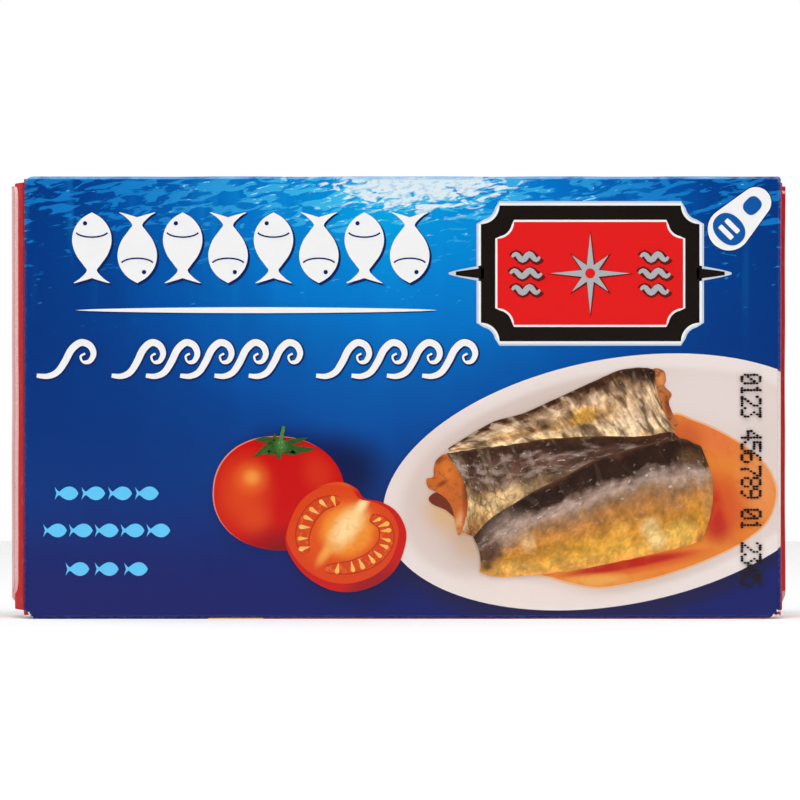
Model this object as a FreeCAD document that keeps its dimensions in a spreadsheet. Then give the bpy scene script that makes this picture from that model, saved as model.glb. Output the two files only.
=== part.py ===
import FreeCAD, Part
import Sketcher
import os

# Shut paperboard carton for one flat fish tin, standing on its long narrow side.
#
# Frame: +X runs along the carton's length, the front panel faces -Y and +Z is up. The origin is
# the centre of the underside of the whole carton, end flaps included. Sizes are in millimetres.
#
# The folded blank is one piece of board, so the carton is one solid: a block with pressed creases,
# worn corners, and at each end an inner flap that is hinged on the front panel, covered by an
# outer flap that is hinged on the back panel. Both flaps bow outwards, one over the other.
#
# What is inside the shut carton isn't seen, so the block is solid.

SIZES = {
    "panel_length": 106.0,
    "panel_height": 62.0,
    "carton_depth": 24.0,
    "board": 0.45,
    "crease_radius": 0.45,
    # Corners of the big panels, as worn in handling.
    "left_top_radius": 1.25,
    "right_top_radius": 0.4,
    "right_bottom_radius": 2.0,
    "left_bottom_crush": 1.4,
    # How far each end's flaps bow out of the plane of the end.
    "left_bow": 1.75,
    "right_bow": 0.55,
    # Inner flaps: gaps to the underside and to the top side.
    "inner_gap_low": 1.25,
    "inner_gap_high": 0.85,
    # Outer flaps: the free edge stays back from the front crease and is shorter than the hinge.
    "free_edge_back": 4.0,
    "hinge_gap_low": 1.0,
    "hinge_gap_high": 0.7,
    "free_gap_low": 4.0,
    "free_gap_high": 1.4,
}

# Flap outlines are padded from inside the block to past the highest bow, then trimmed.
ROOT_INSIDE = 1.0
PAST_BOW = 4.0

# Two lengths closer than this are the same, and a trim that takes less than this has missed.
SAME_LENGTH = 0.01
LEAST_TRIM = 1.0

# Where the ends and the big panels lie. The unequal bows are shared out about the origin.
SHIFT = "(sizes.left_bow - sizes.right_bow) / 2"
LEFT_END = "(-sizes.panel_length / 2 + %s)" % SHIFT
RIGHT_END = "(sizes.panel_length / 2 + %s)" % SHIFT
HALF_DEPTH = "(sizes.carton_depth / 2)"
TOP = "sizes.panel_height"

document = FreeCAD.newDocument("fish_tin_carton")


def fill_sheet():
    """Write the driving dimensions and their names into the sheet."""
    sheet = document.addObject("Spreadsheet::Sheet", "sizes")
    for row, (name, value) in enumerate(SIZES.items(), start=1):
        sheet.set("A%d" % row, name)
        sheet.set("B%d" % row, str(value))
        sheet.setAlias("B%d" % row, name)
    document.recompute()


def value_of(expression):
    """Work out an expression of the sheet's sizes as a plain number."""
    value = document.sizes.evalExpression(expression.replace("sizes.", ""))
    return float(getattr(value, "Value", value))


def origin_plane(body, role):
    """Return one of the body's own origin planes."""
    return next(item for item in body.Origin.OriginFeatures if item.Role == role)


def new_sketch(body, name, role, offset=None):
    """Start a sketch on an origin plane, moved along the plane's normal by an expression."""
    sketch = body.newObject("Sketcher::SketchObject", name)
    sketch.AttachmentSupport = [(origin_plane(body, role), "")]
    sketch.MapMode = "FlatFace"
    if offset:
        sketch.setExpression("AttachmentOffset.Base.z", offset)
    return sketch


def closed_loop(sketch, corners, bow=None):
    """Draw a closed loop through corners given as pairs of expressions, and bind it to them.

    With a bow, the first side is an arc that rises to a crest and has a bound radius.
    """
    points = [FreeCAD.Vector(value_of(across), value_of(up), 0) for across, up in corners]
    following = points[1:] + points[:1]
    for index, (start, end) in enumerate(zip(points, following)):
        if bow and index == 0:
            crest = FreeCAD.Vector(value_of(bow["crest"]), 0, 0)
            sketch.addGeometry(Part.Arc(start, crest, end), False)
        else:
            sketch.addGeometry(Part.LineSegment(start, end), False)

    # An arc always runs anticlockwise, so its first end may be the second corner.
    first_ends = []
    for index, start in enumerate(points):
        is_first = sketch.getPoint(index, 1).distanceToPoint(start) < SAME_LENGTH
        first_ends.append(1 if is_first else 2)
    for index, first in enumerate(first_ends):
        after = (index + 1) % len(points)
        join = Sketcher.Constraint("Coincident", index, 3 - first, after, first_ends[after])
        sketch.addConstraint(join)
    for index, (across, up) in enumerate(corners):
        bind(sketch, ("DistanceX", -1, 1, index, first_ends[index]), across)
        bind(sketch, ("DistanceY", -1, 1, index, first_ends[index]), up)
    if bow:
        bind(sketch, ("Radius", 0), bow["radius"])


def bind(sketch, constraint, expression):
    """Add a constraint whose value is an expression of the sheet's sizes."""
    number = sketch.addConstraint(Sketcher.Constraint(*constraint, value_of(expression)))
    sketch.setExpression("Constraints[%d]" % number, expression)


def edges_where(feature, test):
    """Name the edges of a feature whose box passes a test."""
    numbered = enumerate(feature.Shape.Edges, start=1)
    return ["Edge%d" % number for number, edge in numbered if test(edge.BoundBox)]


def corner_edge(across, up):
    """Make a test for the edge that runs through the depth at one corner of the panels."""

    def test(box):
        near_x = abs(box.Center.x - value_of(across)) < SAME_LENGTH
        near_z = abs(box.Center.z - value_of(up)) < SAME_LENGTH
        return near_x and near_z and box.YLength > SAME_LENGTH

    return test


def on_big_panel(box):
    """Test for an edge that lies in the plane of the front or of the back panel."""
    off_plane = abs(abs(box.Center.y) - value_of(HALF_DEPTH))
    return box.YLength < SAME_LENGTH and off_plane < SAME_LENGTH


def dress(body, name, kind, base, test, expression):
    """Round or bevel the chosen edges of a feature by a size of the sheet."""
    feature = body.newObject("PartDesign::" + kind, name)
    feature.Base = (base, edges_where(base, test))
    feature.setExpression("Radius" if kind == "Fillet" else "Size", expression)
    document.recompute()
    return feature


def make_block(body):
    """Make the block of the folded carton, with its worn corners and pressed creases."""
    sketch = new_sketch(body, "panel_outline", "XZ_Plane")
    closed_loop(sketch, [(LEFT_END, "0"), (RIGHT_END, "0"), (RIGHT_END, TOP), (LEFT_END, TOP)])
    feature = body.newObject("PartDesign::Pad", "block")
    feature.Profile = sketch
    feature.Midplane = True
    feature.setExpression("Length", "sizes.carton_depth")
    document.recompute()

    corners = [
        ("left_top_corner", "Fillet", LEFT_END, TOP, "sizes.left_top_radius"),
        ("right_top_corner", "Fillet", RIGHT_END, TOP, "sizes.right_top_radius"),
        ("right_bottom_corner", "Fillet", RIGHT_END, "0", "sizes.right_bottom_radius"),
        ("left_bottom_corner", "Chamfer", LEFT_END, "0", "sizes.left_bottom_crush"),
    ]
    for name, kind, across, up, size in corners:
        feature = dress(body, name, kind, feature, corner_edge(across, up), size)
    dress(body, "creases", "Fillet", feature, on_big_panel, "sizes.crease_radius")


def make_flap(body, name, end, side, outline, foot, height):
    """Pad one flap's outline out of an end and trim it to its bowed outer face.

    The face starts at a foot beyond the end and rises from there by a height. The side is -1
    at the left end and 1 at the right end.
    """
    inside = "%s - %d * %g" % (end, side, ROOT_INSIDE)
    sketch = new_sketch(body, name + "_outline", "YZ_Plane", inside)
    closed_loop(sketch, outline)
    plate = body.newObject("PartDesign::Pad", name + "_plate")
    plate.Profile = sketch
    plate.Length = ROOT_INSIDE + PAST_BOW
    plate.Reversed = side < 0
    document.recompute()

    near = "%s + %d * %s" % (end, side, foot)
    far = "%s + %d * %g" % (end, side, ROOT_INSIDE + PAST_BOW)
    bow = {
        "crest": "%s + %d * (%s + %s)" % (end, side, foot, height),
        "radius": "(%s ^ 2 + %s ^ 2) / (2 * %s)" % (HALF_DEPTH, height, height),
    }
    front = "-" + HALF_DEPTH
    trim = new_sketch(body, name + "_bow", "XY_Plane")
    closed_loop(trim, [(near, front), (near, HALF_DEPTH), (far, HALF_DEPTH), (far, front)], bow)
    flap = body.newObject("PartDesign::Pocket", name)
    flap.Profile = trim
    flap.Type = "ThroughAll"
    flap.Reversed = True
    document.recompute()
    if flap.Shape.Volume > plate.Shape.Volume - LEAST_TRIM:
        raise RuntimeError("%s isn't trimmed to its bow" % name)
    return flap


def make_end(body, word, end, side, height):
    """Close one end with its inner flap and the outer flap that is glued over it."""
    front = "-%s + sizes.crease_radius" % HALF_DEPTH
    back = "%s - sizes.crease_radius" % HALF_DEPTH
    free_edge = "-%s + sizes.free_edge_back" % HALF_DEPTH
    inner = [
        (front, "sizes.inner_gap_low"),
        (back, "sizes.inner_gap_low"),
        (back, TOP + " - sizes.inner_gap_high"),
        (front, TOP + " - sizes.inner_gap_high"),
    ]
    outer = [
        (free_edge, "sizes.free_gap_low"),
        (back, "sizes.hinge_gap_low"),
        (back, TOP + " - sizes.hinge_gap_high"),
        (free_edge, TOP + " - sizes.free_gap_high"),
    ]
    make_flap(body, word + "_inner_flap", end, side, inner, "0", height)
    return make_flap(body, word + "_outer_flap", end, side, outer, "sizes.board", height)


def make_carton():
    """Build the whole carton as one body and return it."""
    body = document.addObject("PartDesign::Body", "carton")
    body.Label = "carton"
    body.Placement = FreeCAD.Placement()
    make_block(body)
    make_end(body, "left", LEFT_END, -1, "sizes.left_bow")
    body.Tip = make_end(body, "right", RIGHT_END, 1, "sizes.right_bow")
    return body


def check_document(pieces):
    """Stop if any object failed or any piece isn't one valid solid."""
    for item in document.Objects:
        if "Invalid" in item.State or "Error" in item.State:
            raise RuntimeError("%s failed: %s" % (item.Name, item.State))
    for piece in pieces:
        shape = piece.Shape
        if shape.isNull() or not shape.isValid() or len(shape.Solids) != 1:
            raise RuntimeError("%s isn't one valid solid" % piece.Label)


fill_sheet()
pieces = [make_carton()]
document.recompute()
check_document(pieces)

os.makedirs("parts", exist_ok=True)
for piece in pieces:
    piece.Shape.exportStep("parts/%s.step" % piece.Label)
    box = piece.Shape.BoundBox
    print(piece.Label, "box", box, "volume %.1f" % piece.Shape.Volume)
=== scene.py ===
import logging
import math
import random
from collections.abc import Callable
from dataclasses import dataclass, replace
from enum import Enum

import bmesh
import bpy
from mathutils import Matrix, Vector, noise


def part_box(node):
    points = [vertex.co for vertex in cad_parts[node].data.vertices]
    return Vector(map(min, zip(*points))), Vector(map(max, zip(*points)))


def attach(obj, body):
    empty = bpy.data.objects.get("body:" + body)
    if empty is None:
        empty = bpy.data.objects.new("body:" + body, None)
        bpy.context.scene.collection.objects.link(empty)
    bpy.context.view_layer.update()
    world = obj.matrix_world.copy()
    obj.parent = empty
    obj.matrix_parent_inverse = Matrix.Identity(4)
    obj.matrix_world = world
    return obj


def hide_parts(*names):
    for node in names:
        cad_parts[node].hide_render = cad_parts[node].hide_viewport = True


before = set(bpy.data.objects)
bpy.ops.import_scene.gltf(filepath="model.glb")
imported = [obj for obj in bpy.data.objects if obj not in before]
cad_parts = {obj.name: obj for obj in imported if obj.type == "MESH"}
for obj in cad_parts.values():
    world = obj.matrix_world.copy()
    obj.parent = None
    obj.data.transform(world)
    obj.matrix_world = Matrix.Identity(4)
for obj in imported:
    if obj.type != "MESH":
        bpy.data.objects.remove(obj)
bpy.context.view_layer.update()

# A shut paperboard carton for a flat fish tin. It stands on its long narrow side, its front panel
# faces -Y and its length runs along X. Printed shapes are thin closed films of ink on the panels.
# Sizes are in millimetres until a mesh is written, which is in metres.

Point = tuple[float, float]
Outline = list[Point]
Socket = bpy.types.NodeSocket
Material = bpy.types.Material
Object = bpy.types.Object
Tree = bpy.types.NodeTree
Mesh = bmesh.types.BMesh

MM = 0.001
CARTON = "carton"
BODY = "root"

log = logging.getLogger("carton")


# --- Sizes and panels ---


@dataclass(frozen=True)
class CartonSizes:
    """Sizes of the carton in millimetres.

    Attributes:
        left: X of the crease between the front panel and the left end.
        right: X of the crease between the front panel and the right end.
        depth: Distance from the front panel to the back panel.
        height: Height of the front panel.
        left_bow: How far the left end's flaps bow out.
        right_bow: How far the right end's flaps bow out.
        board: Thickness of the board.
        crease: Radius of the creases.
        film_bed: Depth of the beds in the big panels that take the printed sea.
    """

    left: float
    right: float
    depth: float
    height: float
    left_bow: float = 1.75
    right_bow: float = 0.55
    board: float = 0.45
    crease: float = 0.45
    film_bed: float = 0.15

    @property
    def length(self) -> float:
        """Length of the front panel."""
        return self.right - self.left


def measure_carton() -> CartonSizes:
    """Read the carton's sizes from its CAD box, less the flaps that stand out of the ends."""
    low, high = (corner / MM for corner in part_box(CARTON))
    return CartonSizes(
        left=low.x + CartonSizes.left_bow + CartonSizes.board,
        right=high.x - CartonSizes.right_bow - CartonSizes.board,
        depth=high.y - low.y,
        height=high.z - low.z,
    )


class Side(Enum):
    """The printed sides of the carton that films are laid on."""

    FRONT = "front"
    BACK = "back"
    TOP = "top"


@dataclass(frozen=True)
class Panel:
    """A flat side with its own plan: u runs across it, v up it, and rise stands out of it."""

    name: str
    origin: Vector
    across: Vector
    up: Vector

    @property
    def out(self) -> Vector:
        """The way that the panel faces."""
        return self.across.cross(self.up)

    def direction(self, u: float, v: float, rise: float = 0.0) -> Vector:
        """Turn a step on the panel's plan into a step in space, in metres."""
        return (self.across * u + self.up * v + self.out * rise) * MM

    def point(self, u: float, v: float, rise: float = 0.0) -> Vector:
        """Turn a place on the panel's plan into a place in space, in metres."""
        return self.origin * MM + self.direction(u, v, rise)


def panel_of(side: Side, sizes: CartonSizes) -> Panel:
    """Give the plan of one side.

    Args:
        side: The side wanted.
        sizes: The carton's sizes.

    Returns:
        The panel, whose plan starts at its lower left corner as one looks at it.
    """
    half = sizes.depth / 2
    x_axis, y_axis, z_axis = Vector((1, 0, 0)), Vector((0, 1, 0)), Vector((0, 0, 1))
    if side is Side.FRONT:
        return Panel("front", Vector((sizes.left, -half, 0)), x_axis, z_axis)
    if side is Side.BACK:
        return Panel("back", Vector((sizes.right, half, 0)), -x_axis, z_axis)
    return Panel("top", Vector((sizes.left, -half, sizes.height)), x_axis, y_axis)


# --- Outlines ---


def ellipse(centre: Point, half: Point, turn: float = 0.0, power: float = 2.0, count: int = 72) -> Outline:
    """Draw an ellipse, or with a higher power a squarer one.

    Args:
        centre: Its middle.
        half: Its two half widths.
        turn: How far it is turned, in degrees.
        power: 2 for an ellipse, more for squarer shoulders.
        count: How many points it has.

    Returns:
        The closed outline, anticlockwise.
    """
    cosine, sine = math.cos(math.radians(turn)), math.sin(math.radians(turn))
    outline = []
    for step in range(count):
        angle = math.tau * step / count
        across = math.copysign(abs(math.cos(angle)) ** (2 / power), math.cos(angle)) * half[0]
        up = math.copysign(abs(math.sin(angle)) ** (2 / power), math.sin(angle)) * half[1]
        outline.append((centre[0] + across * cosine - up * sine, centre[1] + across * sine + up * cosine))
    return outline


def curve_through(points: Outline, closed: bool, steps: int = 6) -> Outline:
    """Draw a smooth curve through a few points.

    Args:
        points: The points that the curve passes through.
        closed: Whether it returns to its start.
        steps: How many pieces each stretch is divided into.

    Returns:
        The points of the curve.
    """
    count = len(points)
    curve = []
    for index in range(count if closed else count - 1):
        if closed:
            four = [points[(index + shift) % count] for shift in (-1, 0, 1, 2)]
        else:
            four = [points[min(max(index + shift, 0), count - 1)] for shift in (-1, 0, 1, 2)]
        for step in range(steps):
            curve.append(spline_point(four, step / steps))
    if not closed:
        curve.append(points[-1])
    return curve


def spline_point(four: Outline, share: float) -> Point:
    """Find a point of the smooth stretch between the second and third of four points."""
    before, start, end, after = four
    square, cube = share * share, share ** 3
    weights = (
        -0.5 * cube + square - 0.5 * share,
        1.5 * cube - 2.5 * square + 1,
        -1.5 * cube + 2 * square + 0.5 * share,
        0.5 * cube - 0.5 * square,
    )
    pairs = list(zip(weights, (before, start, end, after)))
    return sum(w * p[0] for w, p in pairs), sum(w * p[1] for w, p in pairs)


def ribbon(path: Outline, half_widths: list[float]) -> Outline:
    """Widen an open path into a closed band.

    Args:
        path: The points of the middle line.
        half_widths: Half of the band's width at each point.

    Returns:
        The closed outline of the band.
    """
    left, right = [], []
    for index, (across, up) in enumerate(path):
        ahead = path[min(index + 1, len(path) - 1)]
        behind = path[max(index - 1, 0)]
        run = (ahead[0] - behind[0], ahead[1] - behind[1])
        size = math.hypot(*run) or 1.0
        side = (-run[1] / size * half_widths[index], run[0] / size * half_widths[index])
        left.append((across + side[0], up + side[1]))
        right.append((across - side[0], up - side[1]))
    return right + left[::-1]


def level_line(start: float, end: float, height: float, steps: int) -> Outline:
    """Give the points of a level line."""
    return [(start + (end - start) * step / steps, height) for step in range(steps + 1)]


def swelling(half: float, steps: int) -> list[float]:
    """Give the half widths of a rule that tapers to its two ends."""
    return [half * math.sin(math.pi * step / steps) ** 0.6 + 0.01 for step in range(steps + 1)]


def moved(outline: Outline, across: float, up: float) -> Outline:
    """Shift an outline."""
    return [(u + across, v + up) for u, v in outline]


def turned(outline: Outline, degrees: float) -> Outline:
    """Turn an outline about the plan's origin."""
    cosine, sine = math.cos(math.radians(degrees)), math.sin(math.radians(degrees))
    return [(u * cosine - v * sine, u * sine + v * cosine) for u, v in outline]


def area_of(outline: Outline) -> float:
    """Measure the area inside an outline, positive if it runs anticlockwise."""
    following = outline[1:] + outline[:1]
    return sum(a[0] * b[1] - b[0] * a[1] for a, b in zip(outline, following)) / 2


def grown(outline: Outline, amount: float) -> Outline:
    """Move every point of an outline outwards by an amount."""
    count = len(outline)
    sign = 1.0 if area_of(outline) > 0 else -1.0
    result = []
    for index, (u, v) in enumerate(outline):
        ahead, behind = outline[(index + 1) % count], outline[index - 1]
        run = (ahead[0] - behind[0], ahead[1] - behind[1])
        size = math.hypot(*run) or 1.0
        result.append((u + sign * run[1] / size * amount, v - sign * run[0] / size * amount))
    return result


def box_outline(low: Point, high: Point) -> Outline:
    """Draw an upright rectangle from its lower left to its upper right corner."""
    return [low, (high[0], low[1]), high, (low[0], high[1])]


# --- Meshes ---

# Films stand this far proud of the panel for each layer, and are rooted just under its surface.
LAYER = 0.028
ROOT = -0.03


def new_piece(name: str, mesh: Mesh, materials: list[Material]) -> Object:
    """Turn a finished bmesh into a piece of the carton that rides on its body.

    Args:
        name: The piece's name.
        mesh: The geometry, in metres, in its place.
        materials: The materials of its slots.

    Returns:
        The new object.
    """
    data = bpy.data.meshes.new(name)
    mesh.to_mesh(data)
    mesh.free()
    for material in materials:
        data.materials.append(material)
    piece = bpy.data.objects.new(name, data)
    bpy.context.scene.collection.objects.link(piece)
    return settle(piece)


def settle(piece: Object) -> Object:
    """Make a piece ride on the carton and report it."""
    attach(piece, BODY)
    log.info("%s: %d faces", piece.name, len(piece.data.polygons))
    return piece


# The under edge of a film's wall reads its colours this far towards the middle of its outline.
WALL_UV_SHRINK = 0.985


def film_mesh(panel: Panel, outlines: list[Outline], top: float, root: float) -> Mesh:
    """Build closed thin slabs with flat faces from outlines on a panel.

    Args:
        panel: The panel that they lie on.
        outlines: One closed outline for each slab.
        top: How far the outer face stands out of the panel.
        root: Where the inner face lies.

    Returns:
        The mesh, with a map laid over the outer faces.
    """
    mesh = bmesh.new()
    layer = mesh.loops.layers.uv.new("OFBake")
    corners = [corner for outline in outlines for corner in outline]
    low = (min(c[0] for c in corners), min(c[1] for c in corners))
    span = (max(c[0] for c in corners) - low[0], max(c[1] for c in corners) - low[1])
    for outline in outlines:
        if area_of(outline) < 0:
            outline = outline[::-1]
        spots = [((u - low[0]) / span[0], (v - low[1]) / span[1]) for u, v in outline]
        middle = (sum(s[0] for s in spots) / len(spots), sum(s[1] for s in spots) / len(spots))
        shrunk = [
            (middle[0] + (a - middle[0]) * WALL_UV_SHRINK, middle[1] + (b - middle[1]) * WALL_UV_SHRINK)
            for a, b in spots
        ]
        upper = [mesh.verts.new(panel.point(u, v, top)) for u, v in outline]
        lower = [mesh.verts.new(panel.point(u, v, root)) for u, v in outline]
        place = dict(zip(upper + lower, spots + shrunk))
        faces = [mesh.faces.new(upper), mesh.faces.new(lower[::-1])]
        for index in range(len(outline)):
            after = (index + 1) % len(outline)
            faces.append(mesh.faces.new((lower[index], lower[after], upper[after], upper[index])))
        for face in faces:
            for loop in face.loops:
                loop[layer].uv = place[loop.vert]
    mesh.normal_update()
    bmesh.ops.triangulate(mesh, faces=[face for face in mesh.faces if len(face.verts) > 4])
    return mesh


def close_sheet(mesh: Mesh, outer: list[list], inner: list[list]) -> tuple[list, list]:
    """Skin two matching grids of vertices and close the rim between them.

    Args:
        mesh: The mesh that holds them.
        outer: The columns of the outer grid.
        inner: The columns of the inner grid.

    Returns:
        The faces of the two skins, and those of the rim, whose last ones run down the first column.
    """
    skins, rims = [], []
    for grid in (outer, [column[::-1] for column in inner]):
        for near, far in zip(grid, grid[1:]):
            for row in range(len(near) - 1):
                skins.append(mesh.faces.new((near[row], far[row], far[row + 1], near[row + 1])))
    around = []
    for grid in (outer, inner):
        bottom, top = [column[0] for column in grid], [column[-1] for column in grid]
        around.append(bottom + grid[-1][1:-1] + top[::-1] + grid[0][-2:0:-1])
    for index in range(len(around[0])):
        after = (index + 1) % len(around[0])
        corners = (around[0][index], around[0][after], around[1][after], around[1][index])
        rims.append(mesh.faces.new(corners))
    bmesh.ops.recalc_face_normals(mesh, faces=mesh.faces)
    return skins, rims


def film(name: str, panel: Panel, outlines: list[Outline], level: int, material: Material) -> Object:
    """Print outlines on a panel as one film of ink.

    Args:
        name: The piece's name, to which the panel's name is added in front.
        panel: The panel that it is printed on.
        outlines: The closed outlines of its parts.
        level: Which layer of ink it is, counted from the panel.
        material: Its ink.

    Returns:
        The new piece.
    """
    mesh = film_mesh(panel, outlines, level * LAYER, ROOT)
    return new_piece("%s_%s" % (panel.name, name), mesh, [material])


# --- Copies made with Geometry Nodes ---


class CopiesOnPoints:
    """A Geometry Nodes tree that sets one motif on every point of a mesh.

    Each point carries how far its copy is turned and how large it is.
    """

    INPUTS = (("Points", "Geometry"), ("Motif", "Object"), ("Turn Axis", "Vector"), ("Ink", "Material"))

    def __init__(self) -> None:
        """Build the tree with its named inputs."""
        tree = bpy.data.node_groups.new("Copies on Points", "GeometryNodeTree")
        face = tree.interface
        face.new_socket("Geometry", in_out="OUTPUT", socket_type="NodeSocketGeometry")
        for label, kind in self.INPUTS:
            face.new_socket(label, in_out="INPUT", socket_type="NodeSocket" + kind)
        add = tree.nodes.new
        given, result = add("NodeGroupInput"), add("NodeGroupOutput")
        motif, rotation = add("GeometryNodeObjectInfo"), add("FunctionNodeAxisAngleToRotation")
        copies = add("GeometryNodeInstanceOnPoints")
        realize, dress = add("GeometryNodeRealizeInstances"), add("GeometryNodeSetMaterial")
        turn, grow = add("GeometryNodeInputNamedAttribute"), add("GeometryNodeInputNamedAttribute")
        for node, label in ((turn, "turn"), (grow, "grow")):
            node.data_type = "FLOAT"
            node.inputs["Name"].default_value = label
        for source, output, target, entry in (
            (given, "Motif", motif, "Object"),
            (given, "Turn Axis", rotation, "Axis"),
            (turn, "Attribute", rotation, "Angle"),
            (given, "Points", copies, "Points"),
            (motif, "Geometry", copies, "Instance"),
            (rotation, "Rotation", copies, "Rotation"),
            (grow, "Attribute", copies, "Scale"),
            (copies, "Instances", realize, "Geometry"),
            (realize, "Geometry", dress, "Geometry"),
            (given, "Ink", dress, "Material"),
            (dress, "Geometry", result, "Geometry"),
        ):
            tree.links.new(source.outputs[output], target.inputs[entry])
        self.tree = tree

    def lay(
        self,
        name: str,
        panel: Panel,
        motif: Outline,
        places: list[tuple[float, float, float, float]],
        level: int,
        material: Material,
    ) -> Object:
        """Print one motif at many places of a panel.

        Args:
            name: The piece's name, to which the panel's name is added in front.
            panel: The panel that it is printed on.
            motif: The motif's outline about the plan's origin.
            places: Where each copy goes: u, v, its turn in degrees and its scale.
            level: Which layer of ink it is.
            material: Its ink.

        Returns:
            The new piece, a plain mesh.
        """
        centred = Panel("motif", Vector((0, 0, 0)), panel.across, panel.up)
        pattern = bpy.data.meshes.new("motif")
        motif_mesh = film_mesh(centred, [motif], level * LAYER, ROOT)
        motif_mesh.to_mesh(pattern)
        motif_mesh.free()
        motif_object = bpy.data.objects.new("motif", pattern)
        bpy.context.scene.collection.objects.link(motif_object)
        points = bpy.data.meshes.new("points")
        points.from_pydata([panel.point(u, v) for u, v, _, _ in places], [], [])
        turns = [math.radians(place[2]) for place in places]
        for label, values in (("turn", turns), ("grow", [place[3] for place in places])):
            points.attributes.new(label, "FLOAT", "POINT").data.foreach_set("value", values)
        holder = bpy.data.objects.new("points", points)
        bpy.context.scene.collection.objects.link(holder)
        modifier = holder.modifiers.new("copies", "NODES")
        modifier.node_group = self.tree
        values = {"Motif": motif_object, "Turn Axis": list(panel.out), "Ink": material}
        for item in self.tree.interface.items_tree:
            if item.in_out == "INPUT" and item.name in values:
                modifier[item.identifier] = values[item.name]
        return self.bake("%s_%s" % (panel.name, name), holder, motif_object, material)

    @staticmethod
    def bake(name: str, holder: Object, motif: Object, material: Material) -> Object:
        """Turn the copies into a plain mesh and clear away what made them.

        Args:
            name: The name of the finished piece.
            holder: The object that carries the modifier.
            motif: The object that was copied.
            material: The ink of the finished piece.

        Returns:
            The finished piece.
        """
        graph = bpy.context.evaluated_depsgraph_get()
        mesh = bpy.data.meshes.new_from_object(holder.evaluated_get(graph))
        for extra in (holder, motif):
            data = extra.data
            bpy.data.objects.remove(extra)
            bpy.data.meshes.remove(data)
        mesh.name = name
        mesh.materials.clear()
        mesh.materials.append(material)
        for layer in [layer.name for layer in mesh.uv_layers]:
            mesh.uv_layers.remove(mesh.uv_layers[layer])
        piece = bpy.data.objects.new(name, mesh)
        bpy.context.scene.collection.objects.link(piece)
        return settle(piece)


# --- Node trees ---


def ink(red: int, green: int, blue: int) -> tuple[float, float, float, float]:
    """Turn a display colour, 0 to 255 a channel, into the linear colour that nodes use."""
    linear = []
    for channel in (red, green, blue):
        share = channel / 255
        linear.append(share / 12.92 if share <= 0.04045 else ((share + 0.055) / 1.055) ** 2.4)
    return (*linear, 1.0)


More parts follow.
